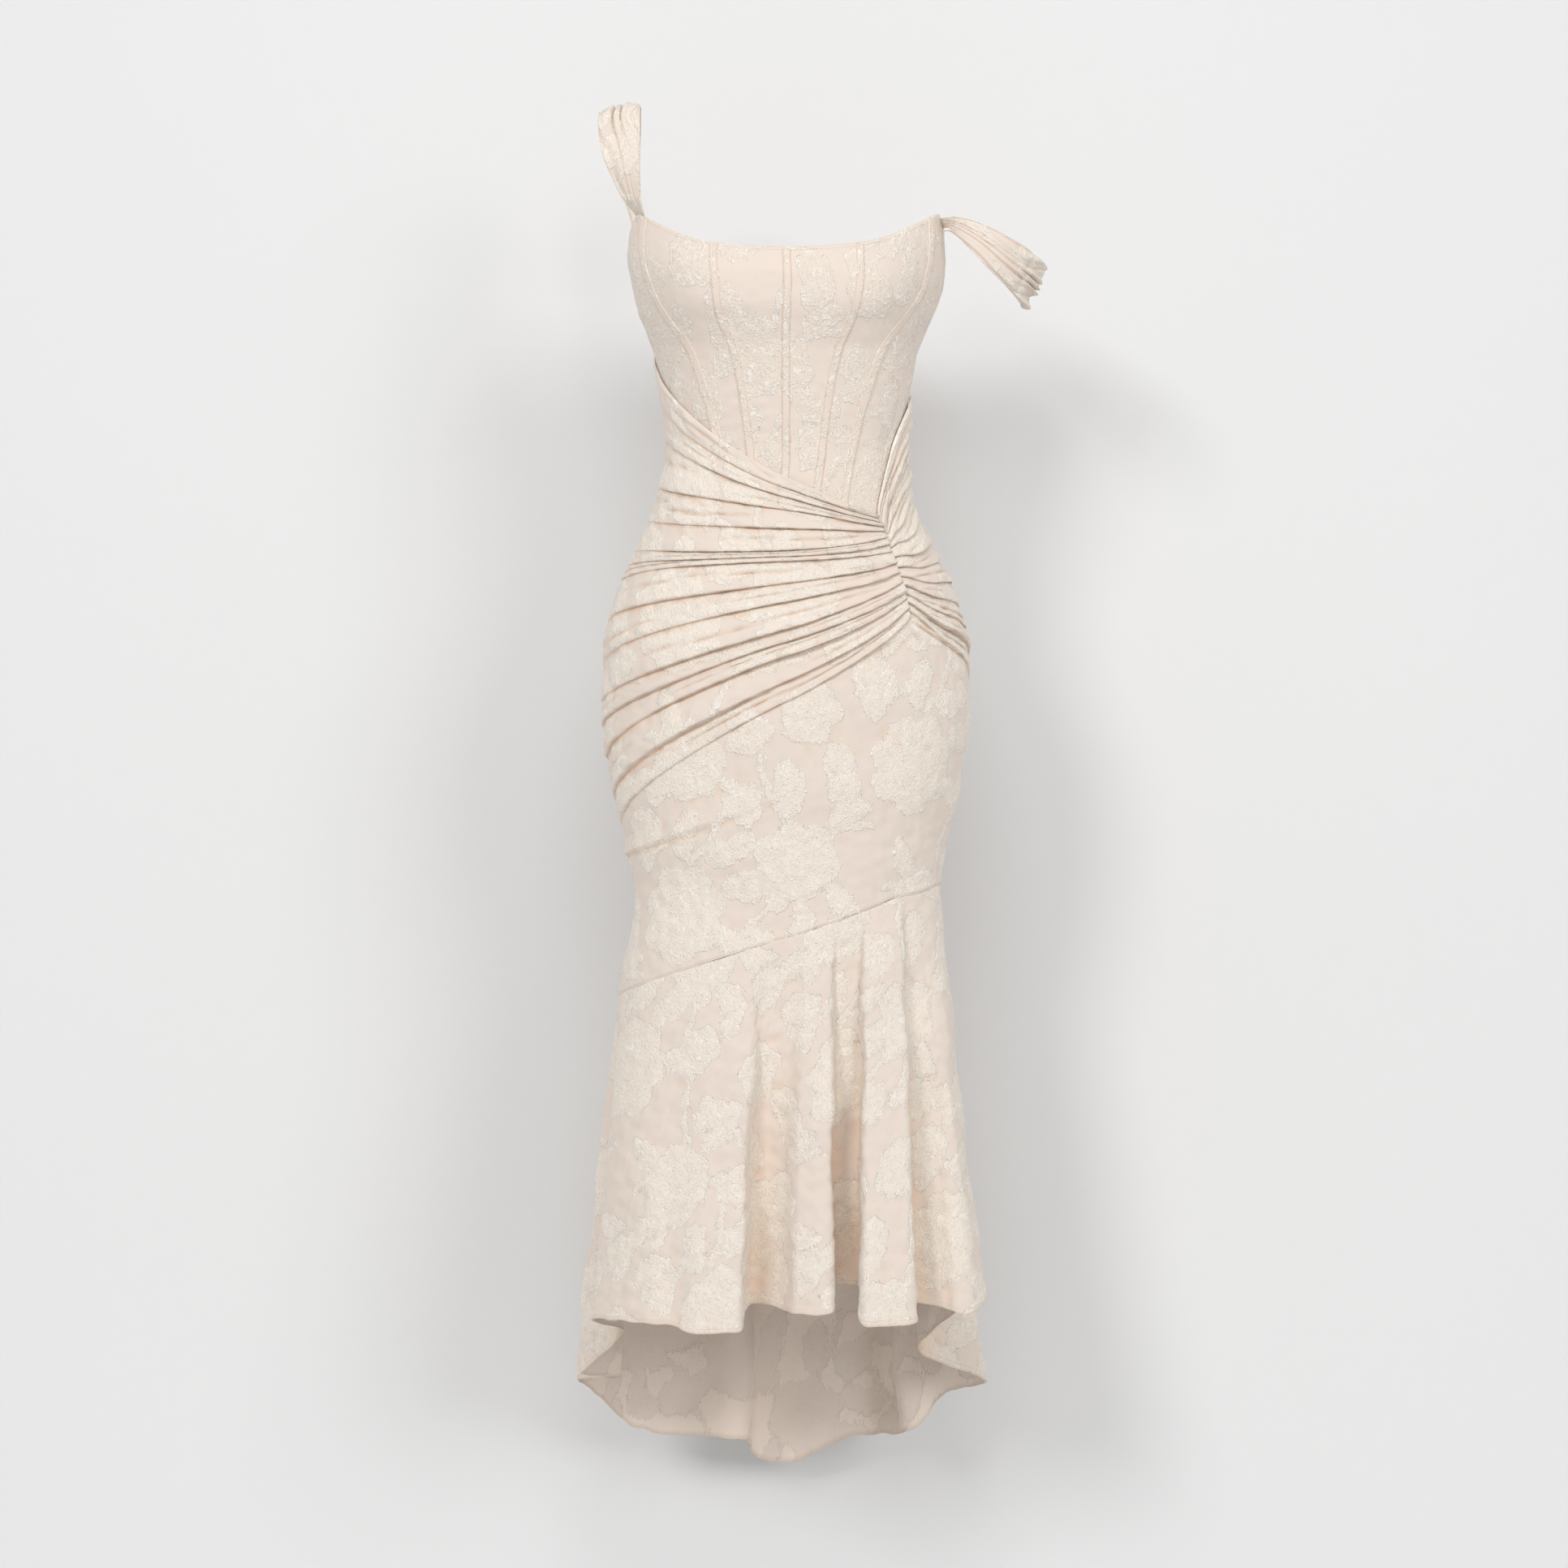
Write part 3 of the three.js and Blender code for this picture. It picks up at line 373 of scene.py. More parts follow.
def ripple(s, t, longest, shortest, seed, count=26):
    # An even, random unevenness with waves between two lengths, about -1 to 1
    dice = np.random.default_rng(seed)
    total = np.zeros(np.shape(s))
    for _ in range(count):
        length = np.exp(dice.uniform(np.log(shortest), np.log(longest)))
        way, start = dice.uniform(0, np.pi), dice.uniform(0, 2 * np.pi)
        total = total + np.cos(2 * np.pi / length * (s * np.cos(way) + t * np.sin(way)) + start)
    return total / np.sqrt(count)


relief = {"motif": 0.22, "edge": 1.6, "pillow": 0.6, "pillowOver": 9.0, "puckerLong": 34, "puckerShort": 11}


def puffed(uv, inside, pucker, seed):
    # How far the cloth stands up: woven figures puff, and the ground between them draws in
    raised = relief["motif"] * smooth(inside / relief["edge"] + 0.5)
    pillow = relief["pillow"] * (1 - np.exp(-np.clip(inside, 0, None) / relief["pillowOver"]))
    drawn = ripple(uv[..., 0], uv[..., 1], relief["puckerLong"], relief["puckerShort"], seed)
    return raised + pillow + pucker * drawn


def gridNormals(grid):
    down = np.gradient(grid, axis=0)
    across = np.gradient(grid, axis=1)
    return unit(np.cross(across, down))


def blurred(grid, reach):
    for axis in (0, 1):
        far = min(reach, grid.shape[axis] - 2)
        pad = [(0, 0)] * 3
        pad[axis] = (far + 1, far)
        whole = 2 * far + 1
        wide = np.pad(grid, pad, mode="reflect", reflect_type="odd")
        run = np.cumsum(wide, axis=axis)
        late = np.take(run, range(whole, run.shape[axis]), axis=axis)
        early = np.take(run, range(run.shape[axis] - whole), axis=axis)
        grid = (late - early) / whole
    return grid


# Painted shade is found at three fold sizes: reach in grid steps, depth in millimetres, share of the full
# painted shade
foldScales = [(3, 1.0, 0.8), (8, 3.0, 0.9), (22, 11.0, 0.65)]


def hollows(grid, normals):
    # How much painted shade a point gets: 0 on ridges and flat cloth, 1 deep in a fold, from how far the cloth
    # round a point lies above it
    total = np.zeros(grid.shape[:2])
    for reach, depth, share in foldScales:
        above = np.sum((blurred(grid, reach) - grid) * normals, axis=-1)
        total = np.maximum(total, share * np.clip(above / depth - 0.28, 0, 1))
    return total


sharpDeg = 70  # faces that meet at more than this keep a crisp edge


def shell(name, outer, inner, uv, attributes, faces):
    # A closed cloth: the outer grid, an inner grid at half its steps behind it, and the rims
    rows, cols = outer.shape[:2]
    inRows, inCols = inner.shape[:2]
    points = np.concatenate([outer.reshape(-1, 3), inner.reshape(-1, 3)])
    front = np.arange(rows * cols).reshape(rows, cols)
    behind = rows * cols + np.arange(inRows * inCols).reshape(inRows, inCols)

    def quads(ids):
        return np.stack([ids[:-1, :-1], ids[:-1, 1:], ids[1:, 1:], ids[1:, :-1]], axis=-1).reshape(-1, 4)

    def rim(edge, back):
        a, b, c = edge[0:-2:2], edge[1:-1:2], edge[2::2]
        d, e = back[:-1], back[1:]
        return np.concatenate([np.stack(t, axis=-1) for t in ((b, a, d), (c, b, e), (b, d, e))])

    fronts, backs = quads(front), quads(behind)[:, ::-1]
    rims = np.concatenate([
        rim(front[0], behind[0]),
        rim(front[:, -1], behind[:, -1]),
        rim(front[-1, ::-1], behind[-1, ::-1]),
        rim(front[::-1, 0], behind[::-1, 0]),
    ])
    a, b, c, d = (points[fronts[:, k]] for k in range(4))
    e, f, g, h = (points[backs[:, k]] for k in range(4))
    volume = np.sum(a * np.cross(b, c)) + np.sum(a * np.cross(c, d))
    volume += np.sum(e * np.cross(f, g)) + np.sum(e * np.cross(g, h))
    if volume < 0:
        fronts, backs, rims = fronts[:, ::-1], backs[:, ::-1], rims[:, ::-1]
    mesh = bpy.data.meshes.new(name)
    mesh.from_pydata((points / 1000).tolist(), [], fronts.tolist() + backs.tolist() + rims.tolist())
    both = np.concatenate([uv.reshape(-1, 2), uv[::2, ::2].reshape(-1, 2)]) / 1000
    corners = np.empty(len(mesh.loops), dtype=np.int32)
    mesh.loops.foreach_get("vertex_index", corners)
    mesh.uv_layers.new(name="clothMap").data.foreach_set("uv", both[corners].ravel().astype(np.float32))
    for key, values in attributes.items():
        whole = np.concatenate([values.ravel(), values[::2, ::2].ravel()]).astype(np.float32)
        mesh.attributes.new(key, "FLOAT", "POINT").data.foreach_set("value", whole)
    kind = np.zeros(len(mesh.polygons), dtype=np.int32)
    kind[len(fronts):len(fronts) + len(backs)] = 1
    for one in faces:
        mesh.materials.append(one)
    mesh.polygons.foreach_set("material_index", kind)
    mesh.polygons.foreach_set("use_smooth", np.ones(len(mesh.polygons), dtype=bool))
    mesh.set_sharp_from_angle(angle=np.radians(sharpDeg))
    mesh.validate()
    mesh.update()
    made = bpy.data.objects.new(name, mesh)
    scene.collection.objects.link(made)
    return made


def flatArea(uv):
    a, b = uv[:-1, :-1], uv[:-1, 1:]
    c, d = uv[1:, 1:], uv[1:, :-1]
    p, q = c - a, d - b
    return float(np.abs(p[..., 0] * q[..., 1] - p[..., 1] * q[..., 0]).sum() / 2 / 1e6)


def makeCloth(node, outer, behind, uv, marks, faces, runs=(),
              turnedUnder=0.0):
    # The piece itself, its stitches, and the size and area of its cut, which are printed
    made = shell(camel(node), outer, behind, uv, marks, faces)
    if runs:
        stitches = sewn(made.name + "Stitches", list(runs))
        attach(stitches, "root")
    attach(made, "root")
    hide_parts(node)
    wide, long = (float(v) / 1000 for v in np.ptp(uv.reshape(-1, 2), axis=0))
    wide += 2 * turnedUnder / 1000
    area = flatArea(uv) + 2 * turnedUnder / 1000 * long
    area = float(np.clip(area, cloth["leastShare"] * wide * long, cloth["mostShare"] * wide * long))
    print(f"{made.name}: cut {wide:.3f} by {long:.3f} m, {area:.4f} m2, {len(made.data.polygons)} faces")


def roundArc(deg, z):
    # How far round the figure each place is from the centre front, at its own height
    step, rings = 3.0, 28
    way = np.arange(-180.0, 361.0, step)
    heights = np.linspace(figure["z"][0], figure["z"][-1], rings)
    ring = onFigure(way[None, :], heights[:, None])
    run = np.pad(np.cumsum(np.linalg.norm(np.diff(ring, axis=1), axis=-1), axis=1), ((0, 0), (1, 0)))
    run -= run[:, [np.argmin(np.abs(way))]]
    return sampled(run, (z - heights[0]) / (heights[1] - heights[0]), (deg - way[0]) / step)


class Wire:
    # One output of a material's tree, which takes part in sums
    def __init__(self, tree, socket):
        self.tree, self.socket = tree, socket

    def join(self, kind, settings=None, inputs=None, output=0):
        node = self.tree.nodes.new(kind)
        for key, value in (settings or {}).items():
            setattr(node, key, value)
        for key, value in (inputs or {}).items():
            if isinstance(value, Wire):
                self.tree.links.new(value.socket, node.inputs[key])
            else:
                node.inputs[key].default_value = value
        return Wire(self.tree, node.outputs[output])

    def sum(self, operation, *terms):
        return self.join("ShaderNodeMath", {"operation": operation}, dict(enumerate(terms)))

    def __add__(self, other):
        return self.sum("ADD", self, other)

    __radd__ = __add__

    def __sub__(self, other):
        return self.sum("SUBTRACT", self, other)

    def __rsub__(self, other):
        return self.sum("SUBTRACT", other, self)

    def __mul__(self, other):
        return self.sum("MULTIPLY", self, other)

    def __abs__(self):
        return self.sum("ABSOLUTE", self)

    def between(self, low, high):
        settings = {"interpolation_type": "SMOOTHSTEP"}
        return self.join("ShaderNodeMapRange", settings, {"Value": self, "From Min": low, "From Max": high})

    def blend(self, a, b):
        settings = {"data_type": "RGBA"}
        return self.join("ShaderNodeMix", settings, {0: self, 6: a, 7: b}, 2)


jacquard = {
    "figure": (0.868, 0.780, 0.682, 1),
    "ground": (0.765, 0.662, 0.580, 1),
    # Lighter tone: a painted highlight on the raised outlines of the woven figures, and the real lighter
    # threads of their inner lines and tufts
    "rim": (0.960, 0.895, 0.810, 1),
    # Painted shade: a warm darker tone laid deep in folds and dents, where shade falls
    "hollow": (0.800, 0.560, 0.385, 1),
    "hollowShare": 0.7,
    # Painted shadow: thin dark lines laid under each pleat's tuck and in the short creases
    "tuck": (0.440, 0.285, 0.175, 1),
    "tuckShadowShare": 0.68,
    # The wrong side's tone, lighter than the face: partly the wrong side's own tone, partly painted light for
    # the shaded inside of the skirt
    "reverse": (0.940, 0.815, 0.715, 1),
    "hemEdge": (0.66, 0.53, 0.41, 1),
    "figureRough": 0.82,
    "groundRough": 0.62,
    "sheen": 0.2,
    "sheenRough": 0.5,
    "specular": 0.3,
    "grown": 1.5,
    "bump": 0.0022,
}
# How much each part of the weave takes part in the outline, the tone, the painted highlight and shade, and the
# height of the face
weave = {
    "ragged": 9, "comb": 12, "edgeSoft": 0.9, "rimAt": 0.7, "rimFrom": 0.3, "rimTo": 1.5, "rimTone": 0.9,
    "veinTone": 0.3, "tuftTone": 0.7, "figure": 0.06, "crinkle": 0.3, "curls": 0.2, "rim": 0.15, "vein": 0.10,
    "tuft": 0.16, "fine": 0.08, "thread": 0.06, "hem": 0.7, "reversePaintedShade": 0.12,
}
# Noises on the cloth: scale, detail, roughness, stretch, turn in degrees
noises = {
    "comb": (330, 1, 0.5, (1, 0.22, 1), 38),
    "ragged": (380, 3, 0.65, (1, 1, 1), 0),
    "rimGaps": (150, 2, 0.5, (1, 1, 1), 0),
    "crinkle": (230, 3, 0.62, (1, 0.6, 1), 20),
    "curls": (420, 2, 0.55, (0.7, 1, 1), -35),
    "fine": (800, 2, 0.55, (1, 1, 1), 0),
    "warp": (900, 1, 0.5, (1, 0.12, 1), 0),
    "weft": (900, 1, 0.5, (0.12, 1, 1), 0),
    "cloudy": (22, 3, 0.55, (1, 1, 1), 0),
    "tufts": (120, 2, 0.5, (1, 0.8, 1), 12),
    "tuftGaps": (70, 2, 0.5, (1, 1, 1), 0),
}


def newMaterial(name):
    made = bpy.data.materials.new(name)
    made.use_nodes = True
    tree = made.node_tree
    tree.nodes.clear()
    out = tree.nodes.new("ShaderNodeOutputMaterial")
    shader = tree.nodes.new("ShaderNodeBsdfPrincipled")
    tree.links.new(shader.outputs[0], out.inputs[0])
    return made, tree, shader


def clothMaterial(name, reverse=False, strength=1.0):
    made, tree, shader = newMaterial(name)
    start = Wire(tree, None)
    cut = start.join("ShaderNodeUVMap", {"uv_map": "clothMap"})
    marks = ("inside", "lines", "hollow", "hem", "tuck")
    inside, lines, hollow, hem, tuck = (
        start.join("ShaderNodeAttribute", {"attribute_name": mark}, output="Fac") for mark in marks)

    def noise(key):
        scale, detail, rough, stretch, turn = noises[key]
        settings = {"Vector": cut, "Scale": stretch, "Rotation": (0, 0, np.radians(turn))}
        way = start.join("ShaderNodeMapping", {}, settings)
        settings = {"Vector": way, "Scale": scale, "Detail": detail, "Roughness": rough}
        return start.join("ShaderNodeTexNoise", {}, settings)

    def crests(value):
        # Sharp little ridges from a soft noise
        return 1 - abs(value - 0.5) * 4

    ragged = (noise("ragged") - 0.5) * weave["ragged"] + (noise("comb") - 0.5) * weave["comb"]
    grown = inside + jacquard["grown"]
    figure = (grown + ragged).between(-weave["edgeSoft"], weave["edgeSoft"])
    crinkle, curls = crests(noise("crinkle")), crests(noise("curls"))
    thread = noise("warp") + noise("weft")
    cloudy = noise("cloudy")
    if reverse:
        # The wrong side, painted lighter than the face to stand in for light inside the skirt
        base = (cloudy * 0.5 + figure * 0.4).blend(jacquard["reverse"], jacquard["ground"])
        height = figure * -0.2 + thread * 0.08 + crinkle * 0.14
    else:
        # Painted highlight: a lighter line along the raised outlines of the woven figures, broken in places
        gaps = noise("rimGaps").between(0.34, 0.56)
        atRim = abs(grown + ragged * weave["rimAt"] - weave["rimAt"])
        rim = (1 - atRim.between(weave["rimFrom"], weave["rimTo"])) * gaps
        vein = (1 - lines.between(0.1, 1.5)) * figure
        tuft = crests(noise("tufts")).between(0.80, 0.97) * noise("tuftGaps").between(0.42, 0.58) * figure
        tone = (figure * (0.55 + crinkle * 0.5) + (cloudy - 0.5) * 0.4) * strength
        # The lighter marks: the painted highlight of the outlines, and the figures' inner lines and tufts
        bright = rim * weave["rimTone"] + vein * weave["veinTone"] * strength + tuft * weave["tuftTone"]
        base = bright.blend(tone.blend(jacquard["ground"], jacquard["figure"]), jacquard["rim"])
        uneven = (crinkle - 0.6) * weave["crinkle"] + (curls - 0.6) * weave["curls"]
        height = figure * (weave["figure"] + uneven) + rim * weave["rim"] + vein * weave["vein"]
        height = height + tuft * weave["tuft"] + (1 - figure) * noise("fine") * weave["fine"]
        height = height + thread * weave["thread"]
    # Painted shade: deep in folds and dents the colour is drawn towards a warm darker tone
    share = jacquard["hollowShare"] * (weave["reversePaintedShade"] if reverse else 1)
    withPaintedShade = (hollow * share).blend(base, jacquard["hollow"])
    # Painted shadow lines in the pleat tucks and short creases
    dark = (tuck * jacquard["tuckShadowShare"]).blend(withPaintedShade, jacquard["tuck"])
    colour = (hem * weave["hem"]).blend(dark, jacquard["hemEdge"])
    rough = figure * (jacquard["figureRough"] - jacquard["groundRough"]) + jacquard["groundRough"]
    bump = start.join("ShaderNodeBump", {}, {"Strength": 1.0, "Distance": jacquard["bump"], "Height": height})
    tree.links.new(colour.socket, shader.inputs["Base Color"])
    tree.links.new(bump.socket, shader.inputs["Normal"])
    if reverse:
        shader.inputs["Roughness"].default_value = jacquard["figureRough"]
    else:
        tree.links.new(rough.socket, shader.inputs["Roughness"])
    shader.inputs["Sheen Weight"].default_value = jacquard["sheen"]
    shader.inputs["Sheen Roughness"].default_value = jacquard["sheenRough"]
    shader.inputs["Specular IOR Level"].default_value = jacquard["specular"]
    return made


def threadMaterial():
    made, tree, shader = newMaterial("creamThread")
    start = Wire(tree, None)
    place = start.join("ShaderNodeTexCoord", {}, output="Object")
    grain = start.join("ShaderNodeTexNoise", {}, {"Vector": place, "Scale": stitch["grain"], "Detail": 1.0})
    tone = grain.blend(stitch["dark"], stitch["pale"])
    bump = start.join("ShaderNodeBump", {}, {"Strength": 0.5, "Distance": 0.0002, "Height": grain})
    tree.links.new(tone.socket, shader.inputs["Base Color"])
    tree.links.new(bump.socket, shader.inputs["Normal"])
    shader.inputs["Roughness"].default_value = stitch["rough"]
    return made


# Stitches: distance from one to the next, length and thickness in millimetres
stitch = {
    "pitch": 3.0, "long": 2.3, "thick": 0.42, "around": 5, "rings": 3, "seed": 5, "uneven": 0.12, "over": 0.1,
    "dark": (0.50, 0.38, 0.28, 1), "pale": (0.72, 0.60, 0.49, 1), "rough": 0.55, "grain": 600.0,
}


def stitchTree():
    # Stitches at even steps along every edge path of a mesh, each turned the way the path runs
    tree = bpy.data.node_groups.new("stitchRun", "GeometryNodeTree")
    tree.interface.new_socket("paths", in_out="INPUT", socket_type="NodeSocketGeometry")
    sockets = {}
    for name in ("pitch", "long", "thick"):
        made = tree.interface.new_socket(name, in_out="INPUT", socket_type="NodeSocketFloat")
        sockets[name] = made.identifier
    tree.interface.new_socket("stitches", in_out="OUTPUT", socket_type="NodeSocketGeometry")
    given = tree.nodes.new("NodeGroupInput")
    paths, pitch, long, thick = (Wire(tree, given.outputs[n]) for n in ("paths", "pitch", "long", "thick"))
    start = Wire(tree, None)
    curve = start.join("GeometryNodeMeshToCurve", {}, {"Mesh": paths})
    spaced = start.join("GeometryNodeResampleCurve", {"mode": "LENGTH"}, {"Curve": curve, "Length": pitch})
    way = start.join("GeometryNodeInputTangent")
    turn = start.join("FunctionNodeAlignRotationToVector", {"axis": "X"}, {"Vector": way})
    settings = {"Segments": stitch["around"], "Rings": stitch["rings"], "Radius": 0.5}
    ball = start.join("GeometryNodeMeshUVSphere", {}, settings)
    settings = {2: 1 - stitch["uneven"], 3: 1 + stitch["uneven"], "Seed": stitch["seed"]}
    vary = start.join("FunctionNodeRandomValue", {"data_type": "FLOAT"}, settings, 1)
    size = start.join("ShaderNodeCombineXYZ", {}, {"X": long * vary, "Y": thick, "Z": thick})
    settings = {"Points": spaced, "Instance": ball, "Rotation": turn, "Scale": size}
    placed = start.join("GeometryNodeInstanceOnPoints", {}, settings)
    real = start.join("GeometryNodeRealizeInstances", {}, {"Geometry": placed})
    done = start.join("GeometryNodeSetMaterial", {}, {"Geometry": real, "Material": threadMade})
    out = tree.nodes.new("NodeGroupOutput")
    tree.links.new(done.socket, out.inputs[0])
    return tree, sockets


def onTop(grid, away):
    # The points of a cloth, lifted so that stitches lie on it
    return grid + away * stitch["over"]


def sewn(name, runs):
    # A mesh of stitches along runs of points in millimetres
    points = np.concatenate(runs) / 1000
    edges, first = [], 0
    for run in runs:
        edges += [(first + i, first + i + 1) for i in range(len(run) - 1)]
        first += len(run)
    mesh = bpy.data.meshes.new(name)
    mesh.from_pydata(points.tolist(), edges, [])
    made = bpy.data.objects.new(name, mesh)
    scene.collection.objects.link(made)
    modifier = made.modifiers.new("stitches", "NODES")
    modifier.node_group = runOfStitches
    for key in ("pitch", "long", "thick"):
        modifier[runSockets[key]] = stitch[key] / 1000
    shown = made.evaluated_get(bpy.context.evaluated_depsgraph_get())
    plain = bpy.data.meshes.new_from_object(shown)
    made.modifiers.clear()
    made.data = plain
    return made


def outwards(grid, sides=(1, 1, 0)):
    # The cloth's normals, turned away from the middle
    normals = gridNormals(grid)
    return normals * np.sign(np.sum(normals * grid * sides))


print("materials")
faceCloth = clothMaterial("creamJacquard")
# The wrong side's material, its tone partly painted light
lightenedBackCloth = clothMaterial("jacquardReverseLightened", reverse=True)
tautCloth = clothMaterial("tautJacquard", strength=0.5)
bothFaces, tautFaces = [faceCloth, lightenedBackCloth], [tautCloth, lightenedBackCloth]
threadMade = threadMaterial()
runOfStitches, runSockets = stitchTree()


bodice = {
    "across": 2.1, "up": 2.1, "highFront": 280, "highBack": 250, "widest": 150.0, "cutUp": 300, "pucker": 0.28,
    "tight": 0.8, "edgeRound": 0.5, "edgeReach": 1.6, "wrinkle": 0.22, "waistAt": 5, "waistOver": 45,
    "hollowShare": 0.6,
}
panels = [
    # name, seam it starts at, seam it ends at, where its cut lies in the repeat
    ("centre_back_right", (-180, None), ("back", -1), (20, 40)),
    ("side_back_right", ("back", -1), (-97, None), (150, 180)),
    ("side_right", (-97, None), ("outer", -1), (70, 10)),
    ("side_front_right", ("outer", -1), ("inner", -1), (118, 96)),
    ("centre_front_right", ("inner", -1), (0, None), (30, 150)),
    ("centre_front_left", (0, None), ("inner", 1), (190, 60)),
    ("side_front_left", ("inner", 1), ("outer", 1), (82, 200)),
    ("side_left", ("outer", 1), (97, None), (10, 120)),
    ("side_back_left", (97, None), ("back", 1), (140, 30)),
    ("centre_back_left", ("back", 1), (180, None), (60, 220)),
]


def seamAt(which):
    name, side = which
    if side is None:
        return lambda z: np.full(np.shape(z), float(name))
    return lambda z: side * column(seams, "z", name, z)


def meets(edge, degAt, start, shape):
    # The height at which lines up the figure meet an edge, found step by step
    z = np.full(shape, float(start))
    for _ in range(40):
        z = mix(z, edge(degAt(z)), 0.6)
    return z


def odd(length, step):
    # How many points lie along a length, an odd number, so that every second one makes the reverse
    return 2 * max(2, int(round(length / step / 2))) + 1


def panelPlaces(start, end, rows, cols):
    # Angles and heights of a panel's points between two seams, from its foot to its head
    u = np.linspace(0, 1, cols)

    def line(z):
        a, b = start(z), end(z)
        return mix(a + halfGap(a), b - halfGap(b), u)

    foot = meets(bodiceFoot, line, -20, (cols,))
    head = meets(topHeight, line, 180, (cols,))
    z = mix(foot[None, :], head[None, :], np.linspace(0, 1, rows)[:, None])
    deg = np.stack([line(row) for row in z])
    return deg, z


def roundedEdges(shape, reach, depth):
    # Draws the outer rows and columns in, so that edges turn over softly
    rows, cols = shape
    i = np.minimum(np.arange(rows), np.arange(rows)[::-1])[:, None]
    j = np.minimum(np.arange(cols), np.arange(cols)[::-1])[None, :]
    near = np.minimum(i, j) / reach
    return -depth * (1 - np.clip(near, 0, 1)) ** 2


def turnedEdges(shape):
    return roundedEdges(shape, 1.2, 0.25)


def buildPanels():
    level = np.array(bodice["widest"])
    for number, (name, start, end, cut) in enumerate(panels):
        a, b = seamAt(start), seamAt(end)
        wide = float(np.abs(roundArc(b(level), level) - roundArc(a(level), level)))
        rows = odd(bodice["highFront"] if "front" in name else bodice["highBack"], bodice["up"])
        deg, z = panelPlaces(a, b, rows, odd(wide, bodice["across"]))
        s = roundArc(deg, z)
        uv = np.stack([s - s[:, :1].min() + cut[0], z + bodice["cutUp"] + cut[1]], axis=-1)
        inside, lines = patternAt(uv)
        waist = bodice["wrinkle"] * bell(z - bodice["waistAt"], bodice["waistOver"])
        out = bodice["tight"] * puffed(uv, inside, bodice["pucker"], number)
        out = out + waist * ripple(s * 0.35, z, 18, 9, 50 + number)
        out = out + roundedEdges(deg.shape, bodice["edgeReach"], bodice["edgeRound"])
        outer = onFigure(deg, z, out)
        inner = onFigure(deg, z, out * 0.3 - cloth["thick"])[::2, ::2]
        away = outwards(outer)
        # Painted shade deep in the folds
        marks = {"inside": inside, "lines": lines, "hollow": bodice["hollowShare"] * hollows(outer, away)}
        makeCloth(name, outer, inner, uv, marks, tautFaces, runs=[onTop(outer, away)[-3, 1:-1]])


def camel(name):
    first, *rest = name.split("_")
    return first + "".join(word.capitalize() for word in rest)


casing = {
    "wide": 9.0, "rise": 1.0, "seat": 0.25, "headIn": 2.5, "footIn": 4, "underWrap": 3, "across": 17,
    "step": 1.8, "turnedUnder": 1.0, "squareness": 9, "stitchAt": 0.72, "dent": 0.3, "dentWide": 0.1,
    "dentShade": 2.2, "pucker": 0.22, "tight": 0.5,
}
casings = [
    # name, the seam it covers, whether its foot runs under the skirt, where its cut lies in the repeat
    ("casing_centre", (0, None), True, (30, 150)),
    ("casing_inner_right", ("inner", -1), True, (118, 20)),
    ("casing_inner_left", ("inner", 1), True, (82, 120)),
    ("casing_outer_right", ("outer", -1), True, (60, 90)),
    ("casing_outer_left", ("outer", 1), True, (150, 200)),
    ("casing_back_left", ("back", 1), False, (10, 40)),
    ("casing_back_right", ("back", -1), False, (190, 70)),
]


def casingRows(at, underSkirt):
    # The heights of a casing's rows, from its foot to its head
    foot, head = float(meets(bodiceFoot, at, -20, ())), float(meets(topHeight, at, 180, ()))
    footIn = form["lap"] - casing["underWrap"] if underSkirt else casing["footIn"]
    return np.linspace(foot + footIn, head - casing["headIn"], odd(head - foot, casing["step"]))


def buildCasings():
    side = np.linspace(-1, 1, casing["across"])
    bone = (1 - np.abs(side) ** casing["squareness"])[None, :] ** 0.5  # flat with soft turned edges
    dent = casing["dent"] * bell(np.abs(side) - casing["stitchAt"], casing["dentWide"])[None, :]
    for number, (name, which, underSkirt, cut) in enumerate(casings):
        at = seamAt(which)
        z = casingRows(at, underSkirt)
        deg = at(z)
        perDeg = np.linalg.norm(onFigure(deg + 0.5, z) - onFigure(deg - 0.5, z), axis=-1)
        slope = np.gradient(deg * perDeg) / np.gradient(z)
        level = side[None, :] * casing["wide"] / 2 * np.sqrt(1 + slope[:, None] ** 2)
        wide = deg[:, None] + level / perDeg[:, None]
        high = np.repeat(z[:, None], len(side), axis=1)
        uv = np.stack([level + 20 + cut[0], high + bodice["cutUp"] + cut[1]], axis=-1)
        inside, lines = patternAt(uv)
        puff = casing["tight"] * puffed(uv, inside, casing["pucker"], 80 + number) * bone
        out = casing["seat"] + casing["rise"] * bone - dent + puff
        outer = onFigure(wide, high, out)
        inner = onFigure(wide, high, casing["seat"] - 0.2)[::2, ::2]
        # Painted shade along the stitched dents
        shade = dent * casing["dentShade"] + 0 * high
        marks = {"inside": inside, "lines": lines, "hollow": np.clip(shade, 0, 1)}
        runs = []
        for edge in (-casing["stitchAt"], casing["stitchAt"]):
            j = int(round((edge + 1) / 2 * (len(side) - 1)))
            runs.append(onFigure(wide[:, j], high[:, j], out[:, j] + stitch["over"]))
        makeCloth(name, outer, inner, uv, marks, tautFaces, runs=runs,
                  turnedUnder=casing["turnedUnder"])


print("bodice")
buildPanels()
buildCasings()


